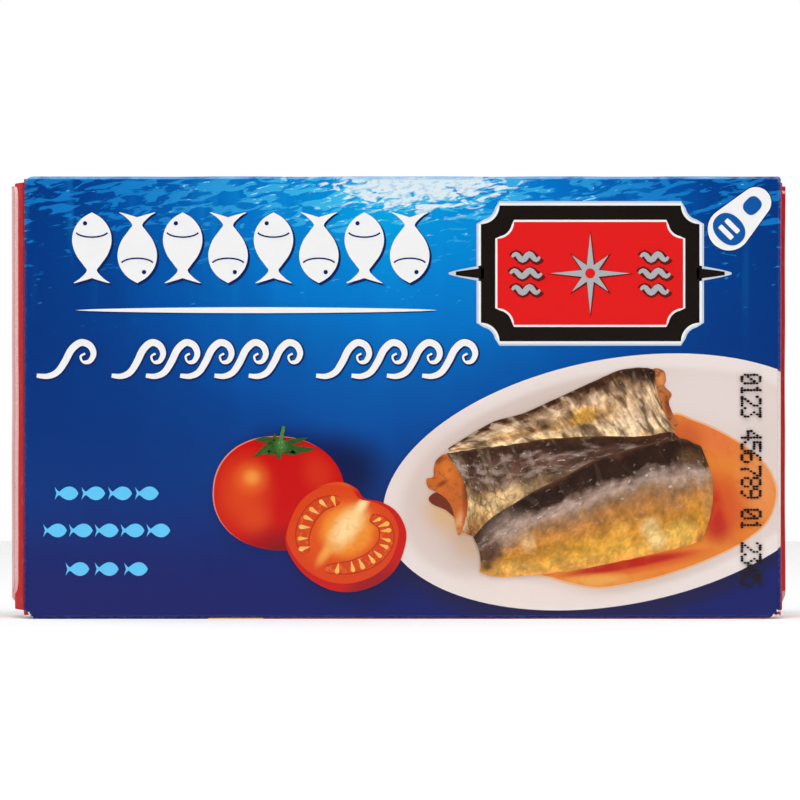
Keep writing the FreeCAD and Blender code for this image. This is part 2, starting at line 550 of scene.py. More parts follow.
class Nodes:
    """Short calls that build one node tree."""

    def __init__(self, tree: Tree) -> None:
        """Work on a tree."""
        self.tree = tree

    def add(self, kind: str, **settings: object) -> bpy.types.Node:
        """Add a node of a kind and set its properties."""
        node = self.tree.nodes.new(kind)
        for name, value in settings.items():
            setattr(node, name, value)
        return node

    def put(self, socket: Socket, value: object) -> None:
        """Feed an input from another node's output, or set it."""
        if isinstance(value, bpy.types.NodeSocket):
            self.tree.links.new(value, socket)
        else:
            socket.default_value = value

    def math(self, operation: str, first: object, second: object = 0.0, third: object = 0.0) -> Socket:
        """Add a sum, such as MULTIPLY, of up to three values."""
        node = self.add("ShaderNodeMath", operation=operation)
        for socket, value in zip(node.inputs, (first, second, third)):
            self.put(socket, value)
        return node.outputs[0]

    def times(self, first: object, second: object) -> Socket:
        """Multiply two values."""
        return self.math("MULTIPLY", first, second)

    def plus(self, first: object, second: object) -> Socket:
        """Add two values."""
        return self.math("ADD", first, second)

    def less(self, first: object, second: object) -> Socket:
        """Take the second value from the first."""
        return self.math("SUBTRACT", first, second)

    def line(self, value: object, slope: object, shift: object) -> Socket:
        """Multiply a value by a slope and add a shift."""
        return self.math("MULTIPLY_ADD", value, slope, shift)

    def inside(self, place: object, width: float) -> Socket:
        """Measure how far a place is inside the nearer edge of a width."""
        return self.math("MINIMUM", place, self.less(width, place))

    def brighten(self, colour: object, factor: object) -> Socket:
        """Multiply a colour by a factor."""
        node = self.add("ShaderNodeVectorMath", operation="SCALE")
        self.put(node.inputs[0], colour)
        self.put(node.inputs["Scale"], factor)
        return node.outputs[0]

    def apart(self, vector: object) -> list[Socket]:
        """Split a vector into its three values."""
        node = self.add("ShaderNodeSeparateXYZ")
        self.put(node.inputs[0], vector)
        return list(node.outputs)

    def mix(self, share: object, first: object, second: object) -> Socket:
        """Blend two colours by a share."""
        node = self.add("ShaderNodeMix", data_type="RGBA")
        self.put(node.inputs[0], share)
        self.put(node.inputs[6], first)
        self.put(node.inputs[7], second)
        return node.outputs[2]

    def smooth(self, value: object, low: object, high: object) -> Socket:
        """Rise smoothly from 0 at low to 1 at high, or fall if low is the greater."""
        node = self.add("ShaderNodeMapRange", interpolation_type="SMOOTHSTEP")
        self.put(node.inputs["Value"], value)
        self.put(node.inputs["From Min"], low)
        self.put(node.inputs["From Max"], high)
        return node.outputs[0]

    def vector(self, first: object, second: object, third: object = 0.0) -> Socket:
        """Join three values into a vector."""
        node = self.add("ShaderNodeCombineXYZ")
        for socket, value in zip(node.inputs, (first, second, third)):
            self.put(socket, value)
        return node.outputs[0]

    def ramp(self, value: object, stops: list[tuple[float, tuple]]) -> Socket:
        """Look a value up in a row of colours."""
        node = self.add("ShaderNodeValToRGB")
        band = node.color_ramp
        while len(band.elements) < len(stops):
            band.elements.new(0.5)
        for element, (place, colour) in zip(band.elements, stops):
            element.position = place
            element.color = colour
        self.put(node.inputs[0], value)
        return node.outputs[0]

    def noise(self, vector: object, scale: object, detail: float = 3.0, distortion: float = 0.0) -> Socket:
        """Add cloudy noise, about 0.5 on average."""
        node = self.add("ShaderNodeTexNoise")
        self.put(node.inputs["Vector"], vector)
        self.put(node.inputs["Scale"], scale)
        node.inputs["Detail"].default_value = detail
        node.inputs["Distortion"].default_value = distortion
        return node.outputs[0]

    def streaks(
        self,
        place: tuple,
        stretch: Point,
        scale: float,
        detail: float,
        distortion: float = 0.0,
        seed: object = 0.0,
    ) -> Socket:
        """Add noise of a flat place whose two ways are scaled apart."""
        flat = self.vector(self.times(place[0], stretch[0]), self.times(place[1], stretch[1]), seed)
        return self.noise(flat, scale, detail, distortion)

    def cells(self, vector: object, scale: float, feature: str = "F1") -> Socket:
        """Add a pattern of cells and give the distance to them."""
        node = self.add("ShaderNodeTexVoronoi", feature=feature)
        self.put(node.inputs["Vector"], vector)
        node.inputs["Scale"].default_value = scale
        return node.outputs["Distance"]

    def group(self, tree: Tree, **values: object) -> bpy.types.Node:
        """Place a group; an input's name is given with _ for each space."""
        node = self.add("ShaderNodeGroup")
        node.node_tree = tree
        for name, value in values.items():
            self.put(node.inputs[name.replace("_", " ")], value)
        return node


# The length and width that a pictured fish's map stands for.
SKIN_SIZE = (32.0, 14.0)
SOCKETS = {"value": "NodeSocketFloat", "colour": "NodeSocketColor", "vector": "NodeSocketVector"}


def new_group(
    name: str, inputs: dict[str, str], outputs: dict[str, str]
) -> tuple[Nodes, dict[str, Socket], bpy.types.Node]:
    """Start a shader node group.

    Args:
        name: The group's name.
        inputs: The kind of each named input.
        outputs: The kind of each named output.

    Returns:
        The group's nodes, its inputs by name, and the node that takes its outputs.
    """
    tree = bpy.data.node_groups.new(name, "ShaderNodeTree")
    for direction, sockets in (("INPUT", inputs), ("OUTPUT", outputs)):
        for label, kind in sockets.items():
            tree.interface.new_socket(label, in_out=direction, socket_type=SOCKETS[kind])
    given = tree.nodes.new("NodeGroupInput")
    result = tree.nodes.new("NodeGroupOutput")
    return Nodes(tree), {label: given.outputs[label] for label in inputs}, result


class Effects:
    """The node groups that several finishes share, each built once."""

    def __init__(self, sizes: CartonSizes) -> None:
        """Build every group in the order in which they use each other."""
        self.sizes = sizes
        self.place = self.build_place()
        self.spot = self.build_spot()
        self.mottle = self.build_mottle()
        self.sea = self.build_sea()
        self.wear = self.build_wear()
        self.skin_place = self.build_skin_place()
        self.skin = self.build_skin()

    def build_place(self) -> Tree:
        """Give the place on the front panel's plan, in millimetres, and the depth behind it."""
        outputs = {"U": "value", "V": "value", "Depth": "value", "Plan": "vector"}
        nodes, _, result = new_group("Panel Place", {}, outputs)
        x, y, z = nodes.apart(nodes.add("ShaderNodeTexCoord").outputs["Object"])
        across = nodes.line(x, 1 / MM, -self.sizes.left)
        depth = nodes.line(y, 1 / MM, self.sizes.depth / 2)
        up = nodes.times(z, 1 / MM)
        nodes.put(result.inputs["U"], across)
        nodes.put(result.inputs["V"], up)
        nodes.put(result.inputs["Depth"], depth)
        nodes.put(result.inputs["Plan"], nodes.vector(across, up, depth))
        return nodes.tree

    def build_spot(self) -> Tree:
        """Give a soft oval mask: 1 in the core, 0 at the rim, and the distance from its middle."""
        inputs = {
            "Centre U": "value",
            "Centre V": "value",
            "Half U": "value",
            "Half V": "value",
            "Turn": "value",
            "Core": "value",
        }
        nodes, given, result = new_group("Soft Spot", inputs, {"Mask": "value", "Reach": "value"})
        place = nodes.group(self.place)
        across = nodes.less(place.outputs["U"], given["Centre U"])
        up = nodes.less(place.outputs["V"], given["Centre V"])
        angle = nodes.math("RADIANS", given["Turn"])
        cosine, sine = nodes.math("COSINE", angle), nodes.math("SINE", angle)
        along = nodes.plus(nodes.times(across, cosine), nodes.times(up, sine))
        aside = nodes.less(nodes.times(up, cosine), nodes.times(across, sine))
        first = nodes.math("POWER", nodes.math("DIVIDE", along, given["Half U"]), 2.0)
        second = nodes.math("POWER", nodes.math("DIVIDE", aside, given["Half V"]), 2.0)
        reach = nodes.math("SQRT", nodes.plus(first, second))
        nodes.put(result.inputs["Mask"], nodes.smooth(reach, 1.0, given["Core"]))
        nodes.put(result.inputs["Reach"], reach)
        return nodes.tree

    def build_mottle(self) -> Tree:
        """Vary an ink slightly, as print on board does, and give its gloss and its relief."""
        inputs = {"Color": "colour", "Amount": "value", "Gloss": "value"}
        outputs = {"Color": "colour", "Roughness": "value", "Height": "value"}
        nodes, given, result = new_group("Ink Mottle", inputs, outputs)
        plan = nodes.group(self.place).outputs["Plan"]
        broad = nodes.noise(plan, 0.12, 2.0)
        fine = nodes.noise(plan, 2.6, 4.0)
        both = nodes.plus(nodes.times(broad, 0.5), nodes.times(fine, 0.5))
        swing = nodes.times(nodes.less(both, 0.5), given["Amount"])
        nodes.put(result.inputs["Color"], nodes.brighten(given["Color"], nodes.plus(1.0, swing)))
        nodes.put(result.inputs["Roughness"], nodes.line(nodes.less(fine, 0.5), 0.12, given["Gloss"]))
        fibre = nodes.noise(plan, 5.0, 3.0)
        sway = nodes.noise(plan, 0.06, 1.0)
        nodes.put(result.inputs["Height"], nodes.line(fibre, 0.03, sway))
        return nodes.tree

    def spot_mask(self, nodes: Nodes, spot: "Spot") -> Socket:
        """Place a soft spot in a tree and give its mask."""
        placed = nodes.group(
            self.spot,
            Centre_U=spot.centre[0],
            Centre_V=spot.centre[1],
            Half_U=spot.half[0],
            Half_V=spot.half[1],
            Turn=spot.turn,
            Core=spot.core,
        )
        return nodes.times(placed.outputs["Mask"], spot.strength)

    def tint(self, nodes: Nodes, colour: Socket, spots: list["Spot"]) -> Socket:
        """Lay soft spots of colour over a colour, one after another."""
        for spot in spots:
            colour = nodes.mix(self.spot_mask(nodes, spot), colour, spot.colour)
        return colour

    def build_sea(self) -> Tree:
        """Paint the sea: light from above, deep blue below, ripples and foam at the surface."""
        nodes, _, result = new_group("Sea Field", {}, {"Color": "colour"})
        place = nodes.group(self.place)
        u, v = place.outputs["U"], place.outputs["V"]
        light = nodes.group(
            self.spot, Centre_U=52.5, Centre_V=58.7, Half_U=46.0, Half_V=38.0, Turn=0.0, Core=0.0
        )
        cloud = nodes.streaks((u, v), (0.05, 0.02), 3.0, 2.0)
        reach = nodes.line(nodes.less(cloud, 0.5), 0.16, light.outputs["Reach"])
        colour = nodes.ramp(
            nodes.math("DIVIDE", reach, 1.3),
            [
                (0.0, ink(0, 164, 221)),
                (0.12, ink(0, 142, 211)),
                (0.24, ink(0, 124, 201)),
                (0.37, ink(0, 109, 190)),
                (0.53, ink(0, 86, 165)),
                (0.62, ink(0, 77, 157)),
                (0.72, ink(0, 62, 138)),
                (0.85, ink(0, 54, 127)),
                (1.0, ink(0, 49, 122)),
            ],
        )
        shaft = nodes.streaks((u, v), (0.22, 0.015), 1.6, 2.0)
        shaft = nodes.times(nodes.smooth(shaft, 0.52, 0.75), nodes.smooth(v, 34.0, 60.0))
        colour = nodes.mix(nodes.times(shaft, 0.28), colour, ink(20, 140, 210))
        deep = nodes.line(nodes.less(cloud, 0.5), 6.0, v)
        colour = nodes.mix(nodes.smooth(deep, 20.0, 4.0), colour, ink(12, 24, 100))
        colour = self.sea_surface(nodes, u, v, colour)
        nodes.put(result.inputs["Color"], colour)
        return nodes.tree

    def sea_surface(self, nodes: Nodes, u: Socket, v: Socket, colour: Socket) -> Socket:
        """Lay ripples, glints and foam over the top of the sea.

        Args:
            nodes: The tree.
            u: Place across the panel.
            v: Place up the panel.
            colour: The water below.

        Returns:
            The water with its surface.
        """
        lean = nodes.line(u, -0.16, v)
        wave = nodes.streaks((u, lean), (0.27, 1.0), 1.0, 4.0, 0.8)
        near = nodes.smooth(v, 46.5, 61.0)
        level = nodes.line(near, -0.16, 0.64)
        crest = nodes.smooth(nodes.less(wave, level), 0.0, 0.06)
        crest = nodes.times(crest, nodes.smooth(v, 45.0, 50.5))
        light = self.spot_mask(nodes, Spot((52.0, 61.0), (44.0, 18.0), 0.0, 0.0, ink(0, 0, 0), 1.0))
        glow = nodes.mix(light, ink(16, 120, 196), ink(62, 190, 232))
        colour = nodes.mix(nodes.times(crest, 0.85), colour, glow)
        glint = nodes.streaks((u, lean), (0.7, 2.2), 1.0, 3.0, 0.6)
        level = nodes.line(light, -0.14, 0.69)
        glint = nodes.smooth(nodes.less(glint, level), 0.0, 0.05)
        glint = nodes.times(nodes.times(glint, crest), 0.9)
        colour = nodes.mix(glint, colour, ink(158, 218, 240))
        foam = self.spot_mask(nodes, Spot((55.0, 63.0), (19.0, 8.5), 0.0, 0.1, ink(0, 0, 0), 1.0))
        froth = nodes.streaks((u, lean), (0.42, 1.15), 1.0, 5.0, 0.8)
        froth = nodes.smooth(nodes.line(foam, 0.36, froth), 0.6, 0.7)
        froth = nodes.times(froth, nodes.smooth(foam, 0.0, 0.25))
        colour = nodes.mix(froth, colour, ink(214, 229, 236))
        speck = nodes.cells(nodes.vector(nodes.times(u, 0.5), nodes.times(lean, 1.15)), 1.0)
        gate = nodes.streaks((u, v), (0.13, 0.21), 1.0, 2.0)
        speck = nodes.times(nodes.smooth(speck, 0.2, 0.08), nodes.smooth(gate, 0.52, 0.62))
        speck = nodes.times(speck, nodes.smooth(v, 39.0, 47.0))
        dapple = nodes.streaks((u, lean), (0.9, 1.8), 1.0, 3.0)
        dapple = nodes.times(nodes.smooth(dapple, 0.5, 0.64), nodes.times(froth, 0.5))
        colour = nodes.mix(dapple, colour, ink(120, 180, 214))
        return nodes.mix(nodes.times(speck, 0.55), colour, ink(60, 158, 216))

    def build_wear(self) -> Tree:
        """Mask the bare board that shows at knocked corners and in chips along the creases."""
        nodes, _, result = new_group("Board Wear", {}, {"Bare": "value", "Rub": "value"})
        place = nodes.group(self.place)
        u, v, depth = place.outputs["U"], place.outputs["V"], place.outputs["Depth"]
        plan = place.outputs["Plan"]
        from_end, from_long = nodes.inside(u, self.sizes.length), nodes.inside(v, self.sizes.height)
        from_face = nodes.inside(depth, self.sizes.depth)
        nearest = nodes.math("MINIMUM", from_end, from_long)
        crease = nodes.math("MAXIMUM", nearest, from_face)
        second = nodes.math("MAXIMUM", from_end, from_long)
        corner = nodes.math("MAXIMUM", second, from_face)
        grain = nodes.noise(plan, 1.9, 4.0)
        knocked = nodes.line(nodes.less(grain, 0.5), 4.2, corner)
        low = nodes.smooth(v, 3.0, 1.0)
        bare = nodes.times(nodes.smooth(knocked, 0.95, 0.6), nodes.line(low, 0.9, 0.1))
        chip = nodes.cells(plan, 0.105)
        chip = nodes.smooth(nodes.line(nodes.less(grain, 0.5), 0.1, chip), 0.1, 0.06)
        chip = nodes.times(chip, nodes.smooth(crease, 0.5, 0.3))
        nodes.put(result.inputs["Bare"], nodes.math("MAXIMUM", bare, nodes.times(chip, 0.8)))
        rub = nodes.times(nodes.smooth(crease, 0.55, 0.2), nodes.smooth(grain, 0.4, 0.7))
        nodes.put(result.inputs["Rub"], rub)
        return nodes.tree

    def build_skin_place(self) -> Tree:
        """Give a place on a fish's skin in millimetres, and its share of the way to the belly."""
        outputs = {"Plan": "vector", "Across": "value", "Bent": "value"}
        nodes, given, result = new_group("Skin Place", {"Seed": "value", "Warp": "value"}, outputs)
        length, width, _ = nodes.apart(nodes.add("ShaderNodeUVMap", uv_map="skin").outputs[0])
        along, across = nodes.times(length, SKIN_SIZE[0]), nodes.times(width, SKIN_SIZE[1])
        broad = nodes.streaks((along, across), (0.28, 0.2), 1.0, 2.0, seed=given["Seed"])
        fine = nodes.streaks((along, across), (0.9, 0.6), 1.0, 4.0, seed=given["Seed"])
        shift = nodes.less(nodes.plus(broad, nodes.times(fine, 0.8)), 0.9)
        nodes.put(result.inputs["Plan"], nodes.vector(along, across, given["Seed"]))
        nodes.put(result.inputs["Across"], width)
        nodes.put(result.inputs["Bent"], nodes.line(shift, given["Warp"], width))
        return nodes.tree

    def build_skin(self) -> Tree:
        """Work mottling, folds, cracks and a silvery shine into the colour of a fish's skin."""
        inputs = {
            "Color": "colour",
            "Plan": "vector",
            "Across": "value",
            "Mottle": "value",
            "Fold": "value",
            "Crack": "value",
            "Shine": "value",
        }
        nodes, given, result = new_group("Fish Skin", inputs, {"Color": "colour"})
        x, y, seed = nodes.apart(given["Plan"])

        def stretched(lengthways: float, crossways: float, lean: float = 0.0) -> Socket:
            """Give the place with its two ways scaled, and the first leaning with the second."""
            leant = nodes.line(y, lean, x)
            return nodes.vector(nodes.times(leant, lengthways), nodes.times(y, crossways), seed)

        def grain(stretch: tuple, detail: float, distortion: float = 0.0) -> Socket:
            """Add noise of the stretched place."""
            return nodes.noise(stretched(*stretch), 1.0, detail, distortion)

        def contrast(value: Socket, share: object) -> Socket:
            """Darken and lighten the colour by a value about 0.5."""
            spread = nodes.less(nodes.smooth(value, 0.3, 0.7), 0.5)
            return nodes.brighten(colour, nodes.line(spread, nodes.times(share, 1.25), 1.0))

        colour = given["Color"]
        colour = contrast(grain((0.42, 0.42), 3.0, 0.3), given["Mottle"])
        speckle = grain((1.3, 0.8, 0.2), 3.0, 0.3)
        colour = contrast(speckle, nodes.times(given["Mottle"], 0.55))
        fold = grain((0.5, 0.13, -0.3), 2.0, 0.8)
        colour = contrast(fold, nodes.times(given["Fold"], 0.8))
        groove = nodes.times(nodes.smooth(fold, 0.45, 0.36), given["Fold"])
        colour = nodes.mix(nodes.times(groove, 0.7), colour, ink(62, 38, 22))
        ridge = nodes.times(nodes.smooth(fold, 0.56, 0.66), given["Fold"])
        colour = nodes.mix(nodes.times(ridge, 0.5), colour, ink(236, 212, 176))
        rib = grain((1.3, 0.35, -0.25), 3.0, 0.6)
        colour = contrast(rib, nodes.times(given["Fold"], 0.6))
        warp = grain((0.8, 0.8), 3.0)
        bent = nodes.add("ShaderNodeVectorMath", operation="ADD")
        nodes.put(bent.inputs[0], stretched(0.72, 0.58))
        nodes.put(bent.inputs[1], nodes.vector(nodes.times(warp, 0.9), nodes.times(warp, 0.7)))
        crack = nodes.cells(bent.outputs[0], 1.0, "DISTANCE_TO_EDGE")
        broken = nodes.smooth(grain((0.5, 0.5), 2.0), 0.36, 0.56)
        crack = nodes.times(nodes.smooth(crack, 0.16, 0.02), nodes.times(given["Crack"], broken))
        colour = nodes.mix(nodes.times(crack, 0.85), colour, ink(52, 30, 16))
        gleam = grain((0.5, 0.85, -0.2), 4.0, 0.3)
        gleam = nodes.times(nodes.smooth(gleam, 0.44, 0.66), given["Shine"])
        colour = nodes.mix(nodes.times(gleam, 0.45), colour, ink(196, 172, 158))
        glint = grain((1.2, 1.4), 3.0, 0.3)
        glint = nodes.times(nodes.smooth(glint, 0.62, 0.72), nodes.line(given["Shine"], 0.5, 0.15))
        colour = nodes.mix(glint, colour, ink(244, 230, 212))
        scale = nodes.cells(stretched(2.1, 2.1), 1.0)
        colour = nodes.mix(nodes.times(nodes.smooth(scale, 0.3, 0.7), 0.12), colour, ink(40, 22, 10))
        edge = nodes.times(nodes.smooth(given["Across"], 0.03, 0.0), 0.6)
        colour = nodes.mix(edge, colour, ink(96, 64, 42))
        nodes.put(result.inputs["Color"], colour)
        return nodes.tree


@dataclass(frozen=True)
class Spot:
    """A soft oval patch of colour on the front panel's plan, in millimetres and degrees."""

    centre: Point
    half: Point
    turn: float
    core: float
    colour: tuple
    strength: float


# --- Finishes ---


@dataclass(frozen=True)
class Finish:
    """A varnished ink; kinds of finish differ in how they paint its colour."""

    name: str
    gloss: float = 0.16
    mottle: float = 0.1
    relief: float = 0.35
    specular: float = 0.3

    def colour(self, nodes: Nodes, effects: Effects) -> object:
        """Give the colour before mottling; kinds of finish say how."""
        raise NotImplementedError

    def build(self, effects: Effects) -> Material:
        """Make the material, or find it if it was made before.

        Args:
            effects: The shared node groups.

        Returns:
            The material.
        """
        found = bpy.data.materials.get(self.name)
        if found:
            return found
        material = bpy.data.materials.new(self.name)
        material.use_nodes = True
        nodes = Nodes(material.node_tree)
        shader = material.node_tree.nodes["Principled BSDF"]
        varied = nodes.group(
            effects.mottle, Color=self.colour(nodes, effects), Amount=self.mottle, Gloss=self.gloss
        )
        nodes.put(shader.inputs["Base Color"], varied.outputs["Color"])
        nodes.put(shader.inputs["Roughness"], varied.outputs["Roughness"])
        shader.inputs["Specular IOR Level"].default_value = self.specular
        bump = nodes.add("ShaderNodeBump")
        bump.inputs["Strength"].default_value = self.relief
        bump.inputs["Distance"].default_value = 0.05 * MM
        nodes.put(bump.inputs["Height"], varied.outputs["Height"])
        nodes.put(shader.inputs["Normal"], bump.outputs[0])
        return material


@dataclass(frozen=True)
class PlainInk(Finish):
    """One flat ink."""

    tone: tuple = (1.0, 1.0, 1.0, 1.0)

    def colour(self, nodes: Nodes, effects: Effects) -> object:
        """Give the ink's own tone."""
        return self.tone


@dataclass(frozen=True)
class SpottedInk(Finish):
    """An ink with soft patches of other colours, as in a painted or printed picture."""

    tone: tuple = (1.0, 1.0, 1.0, 1.0)
    spots: tuple[Spot, ...] = ()
    grain: float = 0.0
    grain_tone: tuple = (0.0, 0.0, 0.0, 1.0)
    grain_scale: float = 1.2

    def colour(self, nodes: Nodes, effects: Effects) -> object:
        """Lay the patches over the tone, and then its grain."""
        colour = effects.tint(nodes, self.tone, list(self.spots))
        if self.grain:
            plan = nodes.group(effects.place).outputs["Plan"]
            cloud = nodes.smooth(nodes.noise(plan, self.grain_scale, 4.0, 0.6), 0.5, 0.66)
            colour = nodes.mix(nodes.times(cloud, self.grain), colour, self.grain_tone)
        return colour


@dataclass(frozen=True)
class SeaPrint(Finish):
    """The sea on a big panel, with the soft shadows of what is pictured on it."""

    shadows: tuple[Spot, ...] = ()

    def colour(self, nodes: Nodes, effects: Effects) -> object:
        """Give the sea under its shadows."""
        return effects.tint(nodes, nodes.group(effects.sea).outputs["Color"], list(self.shadows))


# The pictured plate: its middle, its half widths and its turn in degrees.
PLATE_CENTRE = (83.0, 19.2)
PLATE_HALF = (33.2, 17.2)
PLATE_TURN = 10.8

PICTURE_SHADOWS = (
    Spot((45.0, 20.5), (8.5, 7.5), 0.0, 0.15, ink(8, 10, 52), 0.85),
    Spot((37.5, 22.0), (11.5, 6.6), 0.0, 0.3, ink(6, 16, 74), 0.7),
    Spot((36.5, 16.6), (12.3, 10.6), 0.0, 0.55, ink(10, 18, 80), 0.55),
    Spot((47.0, 9.0), (11.2, 9.2), 0.0, 0.55, ink(14, 12, 60), 0.6),
    Spot((83.2, 17.6), (36.2, 19.0), PLATE_TURN, 0.86, ink(26, 20, 56), 0.75),
)


@dataclass(frozen=True)
class BoardPrint(Finish):
    """The folded board: sea on the big panels, colour blocks on the long sides, red ends."""

    navy: tuple = ink(18, 28, 100)
    yellow: tuple = ink(246, 196, 44)
    red: tuple = ink(176, 34, 36)
    bare: tuple = ink(226, 224, 220)
    rubbed: tuple = ink(120, 130, 170)
    # Pale blue of the painted highlight along the top crease.
    crest: tuple = ink(112, 184, 236)
    plate: tuple = ink(226, 212, 206)
    bottom_blocks: tuple[float, float] = (25.8, 33.5)
    top_blocks: tuple[float, float, float] = (22.5, 72.0, 79.8)

    def colour(self, nodes: Nodes, effects: Effects) -> object:
        """Choose the colour of each side by its place, add a painted highlight along the top crease, then
        bare the knocked and chipped board.
        """
        sizes = effects.sizes
        place = nodes.group(effects.place)
        u, v, depth = place.outputs["U"], place.outputs["V"], place.outputs["Depth"]

        def past(value: object, limit: object) -> Socket:
            """Give 1 where a value is past a limit."""
            return nodes.math("GREATER_THAN", value, limit)

        under = nodes.mix(past(u, self.bottom_blocks[0]), self.navy, self.yellow)
        under = nodes.mix(past(u, self.bottom_blocks[1]), under, self.red)
        above = nodes.mix(past(u, self.top_blocks[0]), self.navy, self.red)
        above = nodes.mix(past(u, self.top_blocks[1]), above, self.yellow)
        above = nodes.mix(past(u, self.top_blocks[2]), above, self.navy)
        from_end = nodes.inside(u, sizes.length)
        from_top = nodes.less(sizes.height, v)
        colour = nodes.mix(past(from_end, v), self.red, under)
        colour = nodes.mix(past(from_end, from_top), colour, above)
        from_face = nodes.inside(depth, sizes.depth)
        sea = nodes.group(effects.sea).outputs["Color"]
        plate = effects.spot_mask(nodes, Spot(PLATE_CENTRE, PLATE_HALF, PLATE_TURN, 0.985, self.bare, 1.0))
        plate = nodes.times(plate, past(1.0, depth))
        sea = nodes.mix(plate, sea, self.plate)
        wrap = nodes.line(nodes.smooth(v, 1.0, 0.3), -0.27, 0.4)
        colour = nodes.mix(past(wrap, from_face), colour, sea)
        wear = nodes.group(effects.wear)
        plan = place.outputs["Plan"]
        # Painted highlight: pale blue in patches along the top crease of the front and back, standing in
        # for the gloss of the varnish.
        patchy = nodes.smooth(nodes.noise(plan, 0.3, 3.0), 0.3, 0.55)
        crest_highlight = nodes.times(nodes.smooth(from_top, 0.5, 0.25), nodes.times(past(0.5, from_face), patchy))
        colour = nodes.mix(nodes.times(crest_highlight, 0.8), colour, self.crest)
        colour = nodes.mix(nodes.times(wear.outputs["Rub"], 0.12), colour, self.rubbed)
        return nodes.mix(wear.outputs["Bare"], colour, self.bare)


@dataclass(frozen=True)
class EndPrint(Finish):
    """The red varnished flaps of the ends, rubbed lighter in soft patches."""

    tone: tuple = ink(186, 36, 38)
    rubbed: tuple = ink(222, 150, 146)

    def colour(self, nodes: Nodes, effects: Effects) -> object:
        """Rub the red lighter in soft patches."""
        plan = nodes.group(effects.place).outputs["Plan"]
        cloud = nodes.smooth(nodes.noise(plan, 0.6, 4.0), 0.5, 0.8)
        return nodes.mix(nodes.times(cloud, 0.1), self.tone, self.rubbed)


@dataclass(frozen=True)
class RawEdgeAndGlare(Finish):
    """The cut edge of the board: pale fibres in thin layers, tinted pink as a painted glare from the glossy
    red end.
    """

    def colour(self, nodes: Nodes, effects: Effects) -> object:
        """Streak the fibres."""
        plan = nodes.group(effects.place).outputs["Plan"]
        fibre = nodes.smooth(nodes.noise(plan, 6.0, 4.0, 1.0), 0.4, 0.65)
        # Pale fibre colour with a pink tint, which is painted glare of the red end.
        return nodes.mix(fibre, ink(250, 226, 222), ink(236, 196, 192))


@dataclass(frozen=True)
class FishSkin(Finish):
    """The skin of one pictured fish, from its dark back to its pale belly."""

    stops: tuple = ()
    patches: tuple[Spot, ...] = ()
    warp: float = 0.2
    rough: float = 0.6
    fold: float = 0.2
    crack: float = 0.2
    shine_from: float = 0.08
    shine_to: float = 0.55
    seed: float = 0.0

    def colour(self, nodes: Nodes, effects: Effects) -> object:
        """Colour the skin across the fish and in patches, then work its texture in."""
        place = nodes.group(effects.skin_place, Seed=self.seed, Warp=self.warp)
        bent = place.outputs["Bent"]
        colour = nodes.ramp(bent, list(self.stops))
        colour = effects.tint(nodes, colour, list(self.patches))
        starts = nodes.smooth(bent, self.shine_from, self.shine_from + 0.1)
        band = nodes.times(starts, nodes.smooth(bent, self.shine_to, self.shine_to - 0.2))
        skin = nodes.group(
            effects.skin,
            Color=colour,
            Plan=place.outputs["Plan"],
            Across=place.outputs["Across"],
            Mottle=self.rough,
            Fold=self.fold,
            Crack=self.crack,
            Shine=band,
        )
        return skin.outputs["Color"]


# --- The folded carton ---


